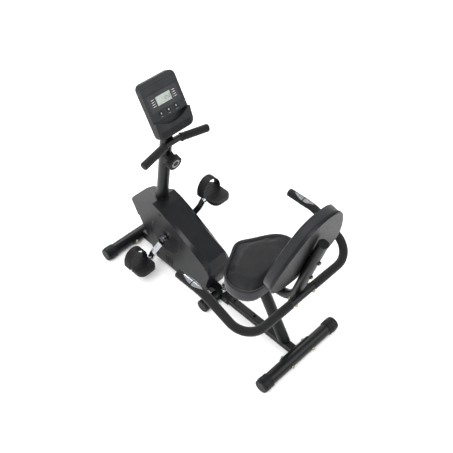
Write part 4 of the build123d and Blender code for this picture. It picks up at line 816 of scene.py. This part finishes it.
def knurled_nut():
    """Chromed collar over the pin's nut: a turned ring whose radius dips 36 times round it."""
    profile = [(0.2, 10.55), (0.2, 11.0), (0.8, 11.4), (18.8, 11.4), (20.4, 10.3), (20.4, 6.2), (20.05, 6.2),
               (20.05, 10.55)]
    grid = turned(bike(PIN_X, 0, NUT_Z), (0, 0, 1), profile, 144, flutes=36, flute=0.03)
    surface("knurled_nut", grid, FINISHES["chrome"], "chrome", "frame", wrap_rows=True)


def tube_point(along):
    """Point on the upright tube's axis, mm along it from the seat rail."""
    return bike(TUBE_FOOT_X, 0, RAIL_Z) + along * MM * BACK_AXES[1]


def bolt_caps():
    """Black domed caps pushed over the bolt heads behind the upright tube."""
    profile = [(0, 0), (0.2, 3), (1.2, 6), (3, 7.4), (7.2, 7.8), (7.2, 0)]
    axis = BACK_AXES[2]
    for index, along in enumerate(BOLTS_UP):
        foot = tube_point(along) - BOLTS_BEHIND * MM * axis
        grid = turned(foot, axis, profile, 40)
        surface(f"bolt_cap_{index}", grid, FINISHES["black_plastic"], "black_plastic", "seat_carriage")


def casing_seam(hand, side):
    """Shadow line under the hood's edge: a thin round line along the seam, on the side shell's face."""
    corners = [(449, 152), (481, 167), (573, 214), (637, 255), (708, 272), (786, 244)]
    line = np.array([bike(x, side * (CASING_HALF + 0.2), z - 1.2) for x, z in corners])
    path, along = spaced(line, LINE_STEP)
    radii = 1.7 * MM * np.sqrt(np.clip(np.minimum(along, along[-1] - along) / (3 * MM), 0.0004, 1))
    surface(f"casing_seam_{hand}", swept(path, radii, 10), GROOVE_SHADE, "casing_plastic", "frame")


knob_face()
knurled_nut()
for hand, side in HANDS:
    casing_seam(hand, side)
bolt_caps()
for hand, side in HANDS:
    handle_grip(hand, side)
    crank_cover(hand, side)
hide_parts("handlebar_grips")
cap_ribs("rear_cap_rib", "seat_carriage", 0)
cap_ribs("front_cap_rib", "frame", STAB_SPAN)


# ---------------------------------------------------------------- studio
def studio_camera():
    """Looks down from behind the rider's left shoulder height, turned towards the front right."""
    data = bpy.data.cameras.new("camera")
    data.sensor_width = 36.0
    data.lens = 58.396
    camera = bpy.data.objects.new("camera", data)
    bpy.context.collection.objects.link(camera)
    yaw, pitch = math.radians(-44.805), math.radians(46.305)
    forward = Vector((math.cos(yaw) * math.cos(pitch), math.sin(yaw) * math.cos(pitch), -math.sin(pitch)))
    camera.location = (-1.38771, 1.3255, 2.4166)
    camera.rotation_euler = forward.to_track_quat("-Z", "Y").to_euler()
    bpy.context.scene.camera = camera


FLOOR_HALF = 40          # metres, so that the floor's edge is far off
LIGHTS = (("key", (-0.6, 2.2, 3.2), 2.4, 130), ("fill", (-2.6, -1.6, 2.4), 2.6, 60),
          ("rim", (2.6, -1.2, 2.6), 2.0, 80))        # name, place, size and power


def studio():
    """Pale floor and soft light from above, both sides and behind the camera."""
    mesh = bpy.data.meshes.new("floor")
    corners = [(x * FLOOR_HALF, y * FLOOR_HALF, 0) for x, y in ((-1, -1), (1, -1), (1, 1), (-1, 1))]
    mesh.from_pydata(corners, [], [(0, 1, 2, 3)])
    floor = bpy.data.objects.new("floor", mesh)
    bpy.context.collection.objects.link(floor)
    mesh.materials.append(finish("pale_floor", "ffffff", 0.9)[0])
    floor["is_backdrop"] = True
    world = bpy.data.worlds.new("studio")
    bpy.context.scene.world = world
    world.use_nodes = True
    sky = world.node_tree
    direction = add(sky, "ShaderNodeTexCoord").outputs["Generated"]
    height = add(sky, "ShaderNodeSeparateXYZ", links={"Vector": direction})
    grade = spread(sky, height.outputs["Z"], -0.1, 0.8, 0.4, 1.05)
    sky.links.new(grade, sky.nodes["Background"].inputs["Color"])
    sky.nodes["Background"].inputs["Strength"].default_value = 0.85
    for name, place, size, power in LIGHTS:
        data = bpy.data.lights.new(name, "AREA")
        data.size = size
        data.energy = power
        light = bpy.data.objects.new(name, data)
        light.location = place
        light.rotation_euler = (Vector((0, 0, 0.4)) - Vector(place)).to_track_quat("-Z", "Y").to_euler()
        bpy.context.collection.objects.link(light)


studio_camera()
studio()
bpy.context.scene.view_settings.view_transform = "Standard"
bpy.context.scene.view_settings.look = "None"

boxes = {"cad": cad_box, "visual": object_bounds()}
{name: [[float(c) for c in corner] for corner in corners] for name, corners in boxes.items()}
